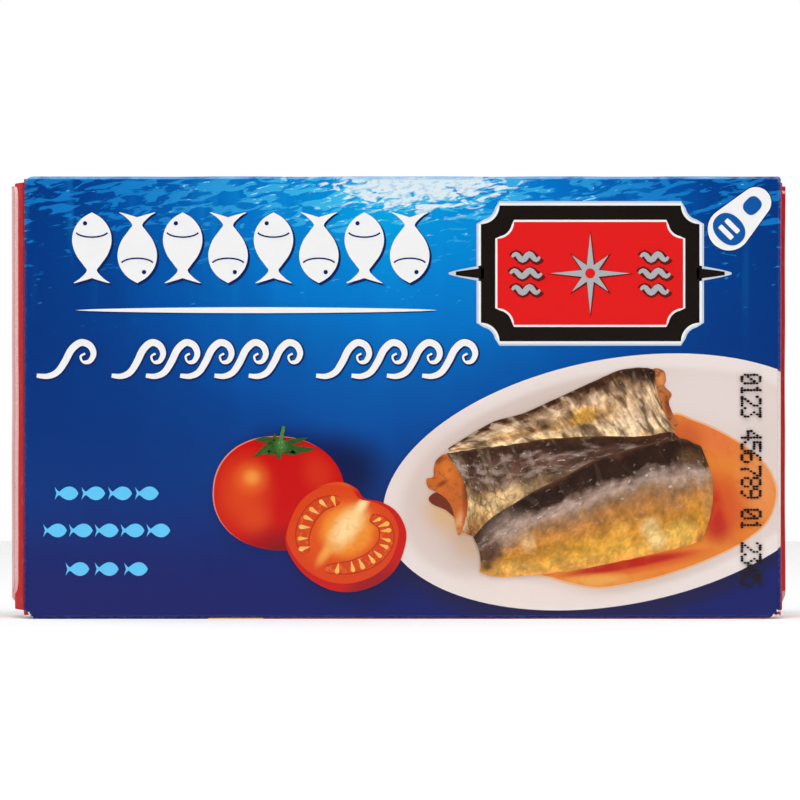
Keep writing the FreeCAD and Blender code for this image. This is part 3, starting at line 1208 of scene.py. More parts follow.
@dataclass
class FoldedBoard:
    """The block of the carton with creases, knocked corners and beds for the printed films."""

    sizes: CartonSizes
    left_top: float = 1.25
    right_top: float = 0.4
    right_bottom: float = 2.0
    left_bottom: float = 1.4
    corner_steps: int = 8
    side_step: float = 2.0
    crease_steps: int = 5
    depth_steps: int = 8
    sway: float = 0.07
    crush: float = 0.1
    least_radius: float = 0.05

    def outline(self, inset: float) -> Outline:
        """Draw the panel's outline in X and Z, moved inwards by an inset.

        Args:
            inset: How far inwards.

        Returns:
            The outline, anticlockwise from the left end, with as many points for every inset.
        """
        sizes = self.sizes
        corners = [
            (sizes.left, 0.0, -1, -1, self.left_bottom, 180),
            (sizes.right, 0.0, 1, -1, self.right_bottom, 270),
            (sizes.right, sizes.height, 1, 1, self.right_top, 0),
            (sizes.left, sizes.height, -1, 1, self.left_top, 90),
        ]
        arcs = []
        for x, z, sign_x, sign_z, radius, start in corners:
            reach = max(radius, inset + self.least_radius)
            centre = (x - sign_x * reach, z - sign_z * reach)
            crushed = radius == self.left_bottom
            arcs.append([self.arc_point(centre, reach - inset, start, step, crushed)
                         for step in range(self.corner_steps + 1)])
        outline = []
        for arc, following in zip(arcs, arcs[1:] + arcs[:1]):
            outline.extend(arc)
            start, end = arc[-1], following[0]
            run = sizes.length if abs(end[0] - start[0]) > abs(end[1] - start[1]) else sizes.height
            count = round(run / self.side_step)
            for step in range(1, count):
                outline.append(tuple(a + (b - a) * (step / count) for a, b in zip(start, end)))
        return outline

    def arc_point(self, centre: Point, radius: float, start: float, step: int, crushed: bool) -> Point:
        """Find a point of a corner, which is round, or nearly straight where it is crushed."""
        angle = math.radians(start + 90 * step / self.corner_steps)
        cosine, sine = math.cos(angle), math.sin(angle)
        if crushed:
            chord = 1 / (abs(cosine) + abs(sine))
            dent = noise.noise(Vector((step * 1.7, radius * 2.0, 3.1))) * self.crush
            radius = radius * (0.25 + 0.75 * chord) + dent * math.sin(math.pi * step / self.corner_steps)
        return centre[0] + radius * cosine, centre[1] + radius * sine

    def rings(self) -> list[tuple[float, float, bool]]:
        """List the rings from the front bed to the back bed: depth, inset, and whether it sways."""
        half, crease, bed = self.sizes.depth / 2, self.sizes.crease, self.sizes.film_bed
        front = [(-half + bed, crease, False)]
        for step in range(self.crease_steps + 1):
            angle = math.pi / 2 * step / self.crease_steps
            ring = (-half + crease * (1 - math.cos(angle)), crease * (1 - math.sin(angle)), step > 1)
            front.append(ring)
        middle = []
        for step in range(1, self.depth_steps):
            middle.append((-half + crease + (2 * half - 2 * crease) * step / self.depth_steps, 0.0, True))
        back = [(-depth, inset, sways) for depth, inset, sways in front[::-1]]
        return front + middle + back

    def build(self, finish: Finish, effects: Effects) -> Object:
        """Build the block.

        Args:
            finish: Its print.
            effects: The shared node groups.

        Returns:
            The piece that stands for the CAD carton.
        """
        mesh = bmesh.new()
        loops = []
        for depth, inset, sways in self.rings():
            loop = []
            for x, z in self.outline(inset):
                dent = self.dent(x, depth, z) if sways else 0.0
                toward = 1 if z < self.sizes.height / 2 else -1
                loop.append(mesh.verts.new(Vector((x, depth, z + toward * dent)) * MM))
            loops.append(loop)
        for near, far in zip(loops, loops[1:]):
            for index in range(len(near)):
                after = (index + 1) % len(near)
                mesh.faces.new((near[index], far[index], far[after], near[after]))
        mesh.faces.new(loops[0])
        mesh.faces.new(loops[-1][::-1])
        mesh.normal_update()
        bmesh.ops.triangulate(mesh, faces=[face for face in mesh.faces if len(face.verts) > 4])
        for face in mesh.faces:
            face.smooth = abs(face.normal.y) < 0.999
        piece = new_piece("folded_board", mesh, [finish.build(effects)])
        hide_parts(CARTON)
        return piece

    def dent(self, x: float, depth: float, z: float) -> float:
        """Say how far the long creases are pressed in by handling at a place."""
        return self.sway * max(noise.noise(Vector((x * 0.11, depth * 0.09, z))) + 0.25, 0.0)


@dataclass
class EndFlaps:
    """The closure of one end: dust flaps below, the inner flap, and the outer flap over it."""

    sizes: CartonSizes
    name: str
    side: int
    bow: float
    inner_gaps: Point = (1.25, 0.85)
    hinge_gaps: Point = (1.0, 0.7)
    free_gaps: Point = (4.0, 1.4)
    free_edge_back: float = 4.0
    inner_reach: float = 16.0
    corner_radius: float = 1.6
    hinge_run: float = 1.5
    ripple: float = 0.12
    columns: int = 26
    rows: int = 64

    @property
    def end(self) -> float:
        """X of the plane of this end."""
        return self.sizes.left if self.side < 0 else self.sizes.right

    def hump(self, depth: float) -> float:
        """Say how far the end bows out at a depth, without the board's thickness."""
        share = 2 * depth / self.sizes.depth
        return self.bow * max(1 - share * share, 0.0)

    def ripple_at(self, depth: float, z: float) -> float:
        """Say how the flaps sway along their height, least at their hinges."""
        wave = noise.noise(Vector((z * 0.075, self.side * 5.0, depth * 0.03)))
        return self.ripple * wave * min(self.hump(depth) / max(self.bow, 0.1) * 2, 1.0)

    def dust_height(self, depth: float, z: float) -> float:
        """Outer face of the dust flaps, which start at the long sides' creases."""
        edge = min(z, self.sizes.height - z)
        start = min(edge / 5.0, 1.0)
        return max(self.hump(depth) - self.sizes.board, 0.0) * start * (2 - start) + 0.02

    def inner_height(self, depth: float, z: float) -> float:
        """Outer face of the inner flap."""
        return self.hump(depth) + self.ripple_at(depth, z)

    def outer_height(self, depth: float, z: float) -> float:
        """Outer face of the outer flap, which rises from its hinge to the board's thickness."""
        from_hinge = min((self.sizes.depth / 2 - self.sizes.crease - depth) / self.hinge_run, 1.0)
        rise = self.sizes.board * from_hinge * (2 - from_hinge)
        return self.hump(depth) + rise + self.ripple_at(depth, z)

    def rounded(self, share: float, gaps: tuple[Point, Point], width: float) -> Point:
        """Find the lower and upper end of a flap at a share of its width from the hinge.

        Args:
            share: 0 at the hinge, 1 at the free edge.
            gaps: The gaps below and above at the hinge, then at the free edge.
            width: The flap's width.

        Returns:
            The heights of its lower and upper edge.
        """
        low = gaps[0][0] + (gaps[1][0] - gaps[0][0]) * share
        high = gaps[0][1] + (gaps[1][1] - gaps[0][1]) * share
        from_free = (1 - share) * width
        if from_free < self.corner_radius:
            inside = self.corner_radius - from_free
            cut = self.corner_radius - math.sqrt(max(self.corner_radius ** 2 - inside ** 2, 0.0))
            low, high = low + cut, high + cut
        return low, self.sizes.height - high

    def plate(
        self,
        name: str,
        depths: Point,
        gaps: tuple[Point, Point],
        height: Callable[[float, float], float],
        thickness: float,
        materials: list[Material],
        rounds: bool,
    ) -> Object:
        """Build one flap as a closed bowed plate.

        Args:
            name: The flap's name.
            depths: The depth of its hinge and of its free edge.
            gaps: Its gaps at the hinge and at the free edge.
            height: The function that gives its outer face.
            thickness: Its thickness.
            materials: The finish of its face and of its cut edges.
            rounds: Whether its free corners are rounded.

        Returns:
            The piece.
        """
        mesh = bmesh.new()
        width = abs(depths[1] - depths[0])
        outer, inner = [], []
        for column in range(self.columns + 1):
            share = column / self.columns
            share = 1 - (1 - share) ** 1.5
            depth = depths[0] + (depths[1] - depths[0]) * share
            low, high = self.rounded(share if rounds else min(share, 0.5), gaps, width)
            outer.append([])
            inner.append([])
            for row in range(self.rows + 1):
                z = low + (high - low) * row / self.rows
                rise = height(depth, z)
                for place, store in ((rise, outer), (rise - thickness, inner)):
                    spot = Vector((self.end + self.side * place, depth, z)) * MM
                    store[-1].append(mesh.verts.new(spot))
        skins, rims = close_sheet(mesh, outer, inner)
        for face in skins:
            face.smooth = True
        for face in rims[:-self.rows]:
            face.material_index = len(materials) - 1
        return new_piece("%s_%s" % (self.name, name), mesh, materials)

    def build(self, board: BoardPrint, red: Finish, raw: Finish, effects: Effects) -> None:
        """Build the dust flaps, the inner flap and the outer flap.

        Args:
            board: The print of the long sides, from which the dust flaps come.
            red: The varnished red of the end.
            raw: The cut edge.
            effects: The shared node groups.
        """
        half, crease = self.sizes.depth / 2, self.sizes.crease
        dust = [board.build(effects)]
        print_and_edge = [red.build(effects), raw.build(effects)]
        matt = replace(red, name="inner_" + red.name, gloss=0.7, specular=0.03)
        inside = [matt.build(effects), raw.build(effects)]
        span = (-half + crease, half - crease)
        flush = ((0.35, 0.35), (0.35, 0.35))
        self.plate("dust_flaps", span, flush, self.dust_height, 1.2, dust, False)
        inner = (self.inner_gaps, self.inner_gaps)
        reach = (span[0], span[0] + self.inner_reach)
        self.plate("inner_flap", reach, inner, self.inner_height, self.sizes.board, inside, True)
        reach = (span[1], -half + self.free_edge_back)
        outer = (self.hinge_gaps, self.free_gaps)
        self.plate("outer_flap", reach, outer, self.outer_height, self.sizes.board, print_and_edge, True)


# --- Printed motifs ---


def fish_motif(length: float, width: float) -> Outline:
    """Draw a plain fish that swims up the plan, about its own middle.

    Args:
        length: From nose to tail.
        width: Across its body.

    Returns:
        The closed outline.
    """
    half = width / 2
    nose, tail = length / 2, -length / 2
    side = [
        (0.0, nose),
        (0.52 * half, nose - 0.09 * length),
        (0.9 * half, nose - 0.24 * length),
        (1.0 * half, nose - 0.42 * length),
        (0.8 * half, nose - 0.6 * length),
        (0.42 * half, nose - 0.75 * length),
        (0.26 * half, nose - 0.83 * length),
        (0.62 * half, tail + 0.06 * length),
        (0.92 * half, tail),
        (0.4 * half, tail + 0.035 * length),
        (0.0, tail + 0.07 * length),
    ]
    right = curve_through(side, closed=False, steps=5)
    left = [(-u, v) for u, v in right[-2:0:-1]]
    return right + left


def ticket_motif(centre: Point, half: Point, notch: float) -> Outline:
    """Draw a plaque whose corners are scooped out by quarter circles.

    Args:
        centre: Its middle.
        half: Its half widths.
        notch: The radius of the scoops.

    Returns:
        The closed outline.
    """
    outline = []
    for sign_u, sign_v, start in ((1, 1, 270), (-1, 1, 0), (-1, -1, 90), (1, -1, 180)):
        corner = (centre[0] + sign_u * half[0], centre[1] + sign_v * half[1])
        for step in range(9):
            angle = math.radians(start - 90 * step / 8)
            outline.append((corner[0] + notch * math.cos(angle), corner[1] + notch * math.sin(angle)))
    return outline


def star_motif(centre: Point, long: float, short: float, waist: float) -> Outline:
    """Draw an eight-pointed compass star with four long and four short points."""
    outline = []
    for step in range(16):
        angle = math.radians(90 + 22.5 * step)
        radius = waist
        if step % 2 == 0:
            radius = long if step % 4 == 0 else short
        outline.append((centre[0] + radius * math.cos(angle), centre[1] + radius * math.sin(angle)))
    return outline


def wave_motif(start: Point, pitch: float, rise: float, bold: float) -> tuple[Outline, list[float]]:
    """Draw one breaking wave: a long back, a crest and a curl.

    Args:
        start: The foot of the wave.
        pitch: The length of a wave.
        rise: Its height.
        bold: Half of its greatest width.

    Returns:
        The middle line and its half widths.
    """
    knots = [
        (-0.38, 0.02), (-0.1, 0.0), (0.16, 0.12), (0.36, 0.42), (0.54, 0.78), (0.78, 0.98),
        (1.02, 0.9), (1.12, 0.66), (1.02, 0.44), (0.84, 0.42), (0.78, 0.58), (0.9, 0.66),
    ]
    path = curve_through([(start[0] + pitch * u, start[1] + rise * v) for u, v in knots], False, 5)
    last = len(path) - 1
    swell = [math.sin(math.pi * min(step / last * 1.15 + 0.06, 1.0)) ** 0.6 for step in range(last + 1)]
    return path, [bold * (0.3 + 0.7 * share) for share in swell]


@dataclass
class TitleBand:
    """The white title: a row of fish side by side, with a shadow, over a tapered rule."""

    panel: Panel
    first: Point = (9.5, 52.0)
    pitch: float = 6.36
    count: int = 8
    length: float = 9.9
    width: float = 5.5
    shadow: Point = (0.26, -0.26)
    rule: tuple[float, float, float] = (7.3, 57.8, 43.25)
    rule_half: float = 0.4

    def build(self, copies: CopiesOnPoints, inks: "Inks") -> None:
        """Print the fish, their shadows, eyes and gills, and the rule."""
        motif = fish_motif(self.length, self.width)
        places, shades, eyes, gills = [], [], [], []
        for number in range(self.count):
            u, v = self.first[0] + self.pitch * number, self.first[1]
            turn = 180.0 * (number % 2)
            sign = 1 - 2 * (number % 2)
            places.append((u, v, turn, 1.0))
            shades.append((u + self.shadow[0], v + self.shadow[1], turn, 1.02))
            eyes.append((u - sign * 0.95, v + sign * 0.345 * self.length, turn, 1.0))
            gills.append((u, v + sign * 0.24 * self.length, turn, 1.0))
        copies.lay("title_shadow", self.panel, motif, shades, 1, inks.shade)
        copies.lay("title_fish", self.panel, motif, places, 2, inks.white)
        copies.lay("title_eyes", self.panel, ellipse((0, 0), (0.3, 0.3), count=20), eyes, 3, inks.shade)
        arc = [(0.42 * self.width * math.sin(math.radians(angle)), -0.9 * math.cos(math.radians(angle)))
               for angle in range(-72, 73, 12)]
        copies.lay("title_gills", self.panel, ribbon(arc, [0.11] * len(arc)), gills, 3, inks.shade)
        start, end, height = self.rule
        line, swell = level_line(start, end, height, 24), swelling(self.rule_half, 24)
        film("rule_shadow", self.panel, [moved(ribbon(line, swell), 0.1, -0.16)], 1, inks.shade)
        film("rule", self.panel, [ribbon(line, swell)], 2, inks.white)


@dataclass
class WaveLine:
    """The flowing second line: three groups of waves in white with a dark edge."""

    panel: Panel
    foot: float = 34.0
    groups: tuple = ((3.8, 1, 5.3), (14.1, 5, 4.8), (42.8, 4, 4.95))
    rise: float = 4.8
    bold: float = 0.5
    edge: float = 0.18

    def build(self, inks: "Inks") -> None:
        """Print the edge and then the waves."""
        edges, lines = [], []
        for start, count, pitch in self.groups:
            for number in range(count):
                path, widths = wave_motif((start + pitch * number, self.foot), pitch, self.rise, self.bold)
                lines.append(ribbon(path, widths))
                edges.append(moved(ribbon(path, [width + self.edge for width in widths]), 0.08, -0.08))
        film("waves_edge", self.panel, edges, 1, inks.shade)
        film("waves", self.panel, lines, 2, inks.white)


@dataclass
class Shoal:
    """Three centred rows of small light-blue fish in the lower left corner."""

    panel: Panel
    middle: float = 11.6
    rows: tuple = ((17.6, 4, 3.75), (12.4, 5, 3.62), (7.0, 3, 4.1))
    length: float = 3.3
    width: float = 1.9

    def build(self, copies: CopiesOnPoints, inks: "Inks") -> None:
        """Print the rows."""
        places = []
        for height, count, pitch in self.rows:
            for number in range(count):
                places.append((self.middle + pitch * (number - (count - 1) / 2), height, -90.0, 1.0))
        motif = fish_motif(self.length, self.width)
        copies.lay("shoal", self.panel, motif, places, 2, inks.light_blue)


@dataclass
class Plaque:
    """A red plaque with a black border, silver rims, a compass star and wave lines."""

    panel: Panel
    centre: Point = (79.3, 48.4)
    half: Point = (15.3, 9.5)
    notch: float = 2.6
    border: float = 2.3
    star: tuple[float, float, float] = (5.6, 3.6, 1.25)

    def build(self, copies: CopiesOnPoints, inks: "Inks") -> None:
        """Print the plaque from its rim to its star."""
        inner = (self.half[0] - self.border, self.half[1] - self.border)
        inset = self.notch * 0.9
        rims = [
            ("plaque_glow", grown(ticket_motif(self.centre, self.half, self.notch), 0.62), inks.silver),
            ("plaque_rim", grown(ticket_motif(self.centre, self.half, self.notch), 0.34), inks.white),
            ("plaque_border", ticket_motif(self.centre, self.half, self.notch), inks.black),
            ("plaque_line", grown(ticket_motif(self.centre, inner, inset), 0.3), inks.white),
            ("plaque_field", ticket_motif(self.centre, inner, inset), inks.red),
        ]
        for level, (name, outline, material) in enumerate(rims, start=1):
            film(name, self.panel, [outline], level, material)
        self.points_beside(inks)
        long, short, waist = self.star
        star = star_motif(self.centre, long, short, waist)
        shade = star_motif(self.centre, long + 0.5, short + 0.5, waist + 0.3)
        film("plaque_star_shade", self.panel, [moved(shade, 0.08, -0.08)], 6, inks.dark_red)
        film("plaque_star", self.panel, [star], 7, inks.silver_dark)
        dots = [(self.centre[0], self.centre[1], 0.0, 1.0)]
        copies.lay("plaque_hub", self.panel, ellipse((0, 0), (0.7, 0.7), count=24), dots, 8, inks.red)
        shades, waves = [], []
        for sign in (-1, 1):
            for row in (-1, 0, 1):
                reach = 4.4 - abs(row) * 0.5
                middle = self.centre[0] + sign * 9.0
                path = [(middle - reach / 2 + reach * step / 16,
                         self.centre[1] + row * 2.3 + 0.42 * math.sin(math.tau * step / 8))
                        for step in range(17)]
                swell = [0.42 * math.sin(math.pi * (step + 0.6) / 17.2) ** 0.4 for step in range(17)]
                waves.append(ribbon(path, swell))
                shades.append(moved(ribbon(path, [0.66] * 17), 0.08, -0.08))
        film("plaque_waves_shade", self.panel, shades, 6, inks.dark_red)
        film("plaque_waves", self.panel, waves, 7, inks.silver_dark)

    def points_beside(self, inks: "Inks") -> None:
        """Print a tapered point on each side of the plaque."""
        outer, inner = [], []
        for sign in (-1, 1):
            start = self.centre[0] + sign * (self.half[0] - 0.4)
            path = [(start + sign * 4.9 * step / 10, self.centre[1]) for step in range(11)]
            taper = [1 - step / 10 for step in range(11)]
            outer.append(ribbon(path, [0.12 + 1.05 * share ** 0.8 for share in taper]))
            inner.append(ribbon(path[:9], [0.04 + 0.72 * share ** 0.8 for share in taper[:9]]))
        film("plaque_points_rim", self.panel, outer, 2, inks.silver)
        film("plaque_points", self.panel, inner, 3, inks.black)


@dataclass
class PullTab:
    """A pictogram of a ring pull: a white tab with a hole and a blue oval with two bars."""

    panel: Panel
    nose: Point = (102.5, 58.35)
    nose_radius: float = 2.15
    heel: Point = (98.75, 54.6)
    heel_radius: float = 3.0
    lean: float = -45.0

    def hull(self, grow: float) -> Outline:
        """Draw the tab's outline round its two circles, grown by an amount."""
        run = (self.nose[0] - self.heel[0], self.nose[1] - self.heel[1])
        distance = math.hypot(*run)
        way = math.degrees(math.atan2(run[1], run[0]))
        side = math.degrees(math.acos((self.heel_radius - self.nose_radius) / distance))
        outline = []
        for centre, radius, start, sweep in (
            (self.nose, self.nose_radius + grow, way - side, 2 * side),
            (self.heel, self.heel_radius + grow, way + side, 360 - 2 * side),
        ):
            for step in range(21):
                angle = math.radians(start + sweep * step / 20)
                outline.append((centre[0] + radius * math.cos(angle), centre[1] + radius * math.sin(angle)))
        return outline

    def build(self, inks: "Inks") -> None:
        """Print the tab, its hole, its oval and the bars."""
        film("tab_edge", self.panel, [self.hull(0.14)], 1, inks.shade)
        film("tab", self.panel, [self.hull(0.0)], 2, inks.white)
        hole = ellipse((self.nose[0] - 0.5, self.nose[1] - 0.45), (1.32, 1.12), 45.0, 2.6, 40)
        film("tab_hole", self.panel, [hole], 3, inks.mid_blue)
        oval = ellipse(self.heel, (2.45, 1.95), self.lean, 2.2, 48)
        film("tab_oval", self.panel, [oval], 3, inks.mid_blue)
        bars = []
        for offset, reach in ((0.62, 1.25), (-0.62, 1.25)):
            bar = turned(ellipse((0.0, offset), (reach, 0.36), 0.0, 8.0, 32), self.lean)
            bars.append(moved(bar, *self.heel))
        film("tab_bars", self.panel, bars, 4, inks.white)


@dataclass
class DateCode:
    """An ink-jet code of plain counting digits that runs down beside the right crease."""

    panel: Panel
    right: float = 103.1
    top: float = 34.2
    height: float = 2.55
    advance: float = 1.55
    cell_width: float = 1.2
    groups: tuple = ((0.0, 4), (7.9, 3), (12.9, 3), (18.9, 2), (23.6, 4))
    dot: float = 0.225

    # The dots of the ten digits, row by row from the top.
    DIGITS = (
        ".###. #...# #..## #.#.# ##..# #...# .###.",
        "..#.. .##.. ..#.. ..#.. ..#.. ..#.. .###.",
        ".###. #...# ....# ...#. ..#.. .#... #####",
        "##### ...#. ..#.. ...#. ....# #...# .###.",
        "...#. ..##. .#.#. #..#. ##### ...#. ...#.",
        "##### #.... ####. ....# ....# #...# .###.",
        "..##. .#... #.... ####. #...# #...# .###.",
        "##### ....# ...#. ..#.. .#... .#... .#...",
        ".###. #...# #...# .###. #...# #...# .###.",
        ".###. #...# #...# .#### ....# ...#. .##..",
    )

    def dots(self, digit: int) -> Outline:
        """List a digit's dots as shares of its width and of its height from the top."""
        lit = []
        for row, line in enumerate(self.DIGITS[digit].split()):
            lit.extend((column / 4, row / 6) for column, mark in enumerate(line) if mark == "#")
        return lit

    def build(self, copies: CopiesOnPoints, inks: "Inks") -> None:
        """Print the dots, each jet a little off its place."""
        chance = random.Random(7)
        places = []
        digit = 0
        for start, count in self.groups:
            for number in range(count):
                down = start + number * self.advance
                for across, below in self.dots(digit):
                    u = self.right - self.height * below + chance.uniform(-0.02, 0.02)
                    v = self.top - down - self.cell_width * across + chance.uniform(-0.02, 0.02)
                    places.append((u, v, 0.0, chance.uniform(0.85, 1.15)))
                digit = (digit + 1) % 10
        motif = ellipse((0, 0), (self.dot, self.dot * 0.72), count=10)
        copies.lay("date_dots", self.panel, motif, places, 9, inks.jet)


# --- The picture ---


@dataclass
class Trunk:
    """One pictured fish without head or tail, drawn between its back and its belly."""

    name: str
    back: Outline
    belly: Outline
    left_bulge: float
    right_bulge: float
    level: int
    skin: FishSkin
    steps: int = 72
    bands: int = 18

    def grid_point(self, along: float, across: float) -> Point:
        """Find a point of the fish.

        Args:
            along: 0 at its left end, 1 at its right end.
            across: 0 on its back, 1 on its belly.

        Returns:
            The point on the panel's plan.
        """
        upper = self.at(self.back, along)
        lower = self.at(self.belly, along)
        swell = self.right_bulge * along ** 10 - self.left_bulge * (1 - along) ** 10
        rough = 0.12 * noise.noise(Vector((along * 30, across * 4, self.level)))
        edge = max(2 * abs(across - 0.5), 2 * abs(along - 0.5)) ** 8
        shift = swell * 4 * across * (1 - across)
        return (
            upper[0] + (lower[0] - upper[0]) * across + shift + rough * edge,
            upper[1] + (lower[1] - upper[1]) * across + rough * edge,
        )

    @staticmethod
    def at(points: Outline, share: float) -> Point:
        """Find the point at a share of a smooth line through a few points."""
        place = min(share, 0.999999) * (len(points) - 1)
        index = int(place)
        four = [points[min(max(index + shift, 0), len(points) - 1)] for shift in (-1, 0, 1, 2)]
        return spline_point(four, place - index)

    def build(self, panel: Panel, effects: Effects) -> Object:
        """Print the fish with a map that runs along and across it."""
        mesh = bmesh.new()
        skin = mesh.loops.layers.uv.new("skin")
        grids = []
        for rise in (self.level * LAYER, ROOT):
            grid = []
            for step in range(self.steps + 1):
                column = []
                for band in range(self.bands + 1):
                    u, v = self.grid_point(step / self.steps, band / self.bands)
                    column.append(mesh.verts.new(panel.point(u, v, rise)))
                grid.append(column)
            grids.append(grid)
        place = {}
        for grid in grids:
            for step, column in enumerate(grid):
                for band, vertex in enumerate(column):
                    place[vertex] = (step / self.steps, band / self.bands)
        close_sheet(mesh, *grids)
        for face in mesh.faces:
            for loop in face.loops:
                loop[skin].uv = place[loop.vert]
        return new_piece("%s_%s" % (panel.name, self.name), mesh, [self.skin.build(effects)])


@dataclass
class FishPlate:
    """The pictured dish: a pale plate with sauce and three fish trunks."""

    panel: Panel
    effects: Effects
    centre: Point = PLATE_CENTRE
    half: Point = PLATE_HALF
    turn: float = PLATE_TURN

    def lay(self, name: str, outline: Outline, level: int, finish: Finish) -> None:
        """Print one closed shape of the picture."""
        film(name, self.panel, [outline], level, finish.build(self.effects))

    def clipped(self, outline: Outline) -> Outline:
        """Cut an outline off at the panel's right crease."""
        limit = self.effects.sizes.length - self.effects.sizes.crease
        kept = []
        for start, end in zip(outline, outline[1:] + outline[:1]):
            if start[0] <= limit:
                kept.append(start)
            if (start[0] - limit) * (end[0] - limit) < 0:
                share = (limit - start[0]) / (end[0] - start[0])
                kept.append((limit, start[1] + (end[1] - start[1]) * share))
        return kept

    def build(self) -> None:
        """Print the plate, the sauce and the fish from the back to the front."""
        self.build_plate()
        self.build_sauce()
        self.build_back_fish()
        self.build_middle_fish()
        self.build_front_fish()

    def build_plate(self) -> None:
        """Print the plate with its rim, its well and the shadows on it."""
        shade = ink(190, 168, 154)
        spots = (
            Spot(self.centre, (31.6, 15.8), self.turn, 0.93, ink(219, 203, 197), 1.0),
            Spot((62.0, 17.0), (13.5, 14.0), 12.0, 0.2, ink(205, 182, 170), 0.8),
            Spot((60.0, 14.5), (6.0, 4.2), -25.0, 0.2, ink(214, 170, 118), 0.85),
            Spot((62.5, 10.6), (4.6, 3.4), -30.0, 0.1, ink(206, 160, 104), 0.7),
            Spot((73.0, 28.0), (20.0, 6.2), 20.0, 0.3, shade, 0.55),
            Spot((80.0, 13.0), (24.0, 11.5), 8.0, 0.7, shade, 0.5),
            Spot((97.0, 31.0), (12.0, 5.5), -8.0, 0.2, ink(224, 209, 205), 0.8),
            Spot((70.0, 4.0), (16.0, 3.0), -6.0, 0.2, ink(231, 216, 210), 0.9),
        )
        porcelain = SpottedInk("plate_ink", tone=ink(230, 218, 213), spots=spots, mottle=0.06)
        rim = ellipse(self.centre, self.half, self.turn, count=120)
        self.lay("plate", self.clipped(rim), 1, porcelain)

    def build_sauce(self) -> None:
        """Print the sauce over a paler, slightly wider film of it."""
        pool = [
            (90.6, 28.3), (93.9, 27.7), (97.6, 26.1), (101.2, 23.9), (103.8, 21.5), (105.2, 18.6),
            (105.0, 15.8), (103.6, 13.2), (100.4, 10.7), (96.4, 8.7), (92.9, 7.3), (88.5, 5.9),
            (83.9, 4.9), (80.3, 4.5), (77.0, 5.0), (74.2, 5.8), (72.6, 6.8), (80.0, 11.0),
            (88.0, 15.0), (90.0, 22.0),
        ]
        pool = curve_through(pool, closed=True)
        pale = PlainInk("sauce_edge_ink", tone=ink(228, 178, 138), mottle=0.08)
        self.lay("sauce_edge", self.clipped(grown(pool, 0.28)), 2, pale)
        spots = (
            Spot((103.0, 19.5), (4.5, 7.5), 0.0, 0.1, ink(230, 146, 88), 0.9),
            Spot((97.0, 25.0), (6.5, 3.2), -32.0, 0.1, ink(220, 112, 62), 0.8),
            Spot((92.5, 25.0), (4.0, 5.0), 0.0, 0.2, ink(190, 78, 44), 0.75),
            Spot((97.6, 16.0), (5.4, 7.4), 24.0, 0.2, ink(205, 78, 34), 0.9),
            Spot((96.9, 12.8), (3.3, 3.4), 30.0, 0.1, ink(178, 34, 26), 0.85),
            Spot((86.5, 7.7), (13.0, 1.5), 10.0, 0.3, ink(212, 84, 36), 0.85),
            Spot((84.6, 7.7), (12.0, 0.95), 10.5, 0.4, ink(180, 22, 12), 0.95),
            Spot((97.0, 15.2), (1.6, 5.0), 8.0, 0.2, ink(186, 34, 22), 0.8),
            Spot((80.5, 5.4), (7.5, 1.3), 2.0, 0.2, ink(232, 166, 78), 0.85),
        )
        sauce = SpottedInk(
            "sauce_ink", tone=ink(224, 130, 48), spots=spots, mottle=0.12,
            grain=0.25, grain_tone=ink(206, 88, 30), grain_scale=0.5,
        )
        self.lay("sauce", self.clipped(pool), 3, sauce)

    def build_back_fish(self) -> None:
        """Print the fish at the back and its cut end at the right."""
        flesh = curve_through(
            [
                (88.0, 34.9), (89.6, 34.75), (89.9, 33.4), (89.7, 32.6), (90.7, 31.5), (90.3, 30.4),
                (90.8, 28.9), (91.6, 27.0), (90.0, 26.4), (88.6, 29.0), (87.8, 32.0),
            ],
            closed=True,
        )
        spots = (
            Spot((89.2, 33.6), (0.9, 1.5), 0.0, 0.1, ink(214, 140, 84), 0.9),
            Spot((90.2, 29.6), (0.7, 2.6), 10.0, 0.2, ink(120, 56, 28), 0.8),
        )
        meat = SpottedInk(
            "cut_end_ink", tone=ink(182, 106, 58), spots=spots,
            grain=0.6, grain_tone=ink(104, 48, 24), grain_scale=1.4,
        )
        self.lay("back_fish_cut", flesh, 4, meat)
        skin = FishSkin(
            "back_fish_ink",
            stops=(
                (0.0, ink(64, 42, 26)), (0.1, ink(76, 48, 30)), (0.2, ink(150, 114, 84)),
                (0.34, ink(212, 174, 136)), (0.48, ink(188, 146, 98)), (0.6, ink(182, 136, 86)),
                (0.74, ink(234, 198, 154)), (0.88, ink(240, 206, 158)), (1.0, ink(216, 174, 124)),
            ),
            patches=(
                Spot((78.4, 28.3), (2.9, 2.2), 30.0, 0.2, ink(204, 148, 50), 0.85),
                Spot((86.4, 34.2), (3.6, 1.7), -8.0, 0.3, ink(46, 30, 22), 0.85),
                Spot((72.8, 27.4), (1.5, 1.9), 0.0, 0.1, ink(64, 42, 30), 0.8),
                Spot((69.5, 27.2), (1.8, 1.2), 20.0, 0.1, ink(86, 60, 44), 0.6),
                Spot((85.8, 28.6), (5.4, 3.2), 10.0, 0.2, ink(228, 198, 164), 0.65),
                Spot((63.8, 25.0), (3.4, 1.1), 25.0, 0.1, ink(216, 190, 156), 0.6),
                Spot((74.8, 25.2), (6.0, 1.0), 2.0, 0.2, ink(222, 176, 110), 0.7),
            ),
            warp=0.3, rough=0.4, fold=0.9, crack=0.1, shine_to=0.1, seed=3.0,
        )
        Trunk(
            "back_fish",
            [
                (59.4, 23.9), (61.8, 25.4), (65.7, 27.6), (69.6, 28.7), (73.5, 30.4), (77.2, 32.1),
                (80.5, 33.6), (83.6, 34.9), (87.0, 35.2), (88.4, 34.7),
            ],
            [
                (59.6, 23.2), (62.4, 23.0), (66.0, 23.2), (70.0, 23.9), (74.0, 24.4), (77.6, 24.7),
                (81.0, 24.9), (84.6, 25.0), (88.2, 25.4), (91.2, 26.1),
            ],
            0.0, -0.7, 5, skin,
        ).build(self.panel, self.effects)

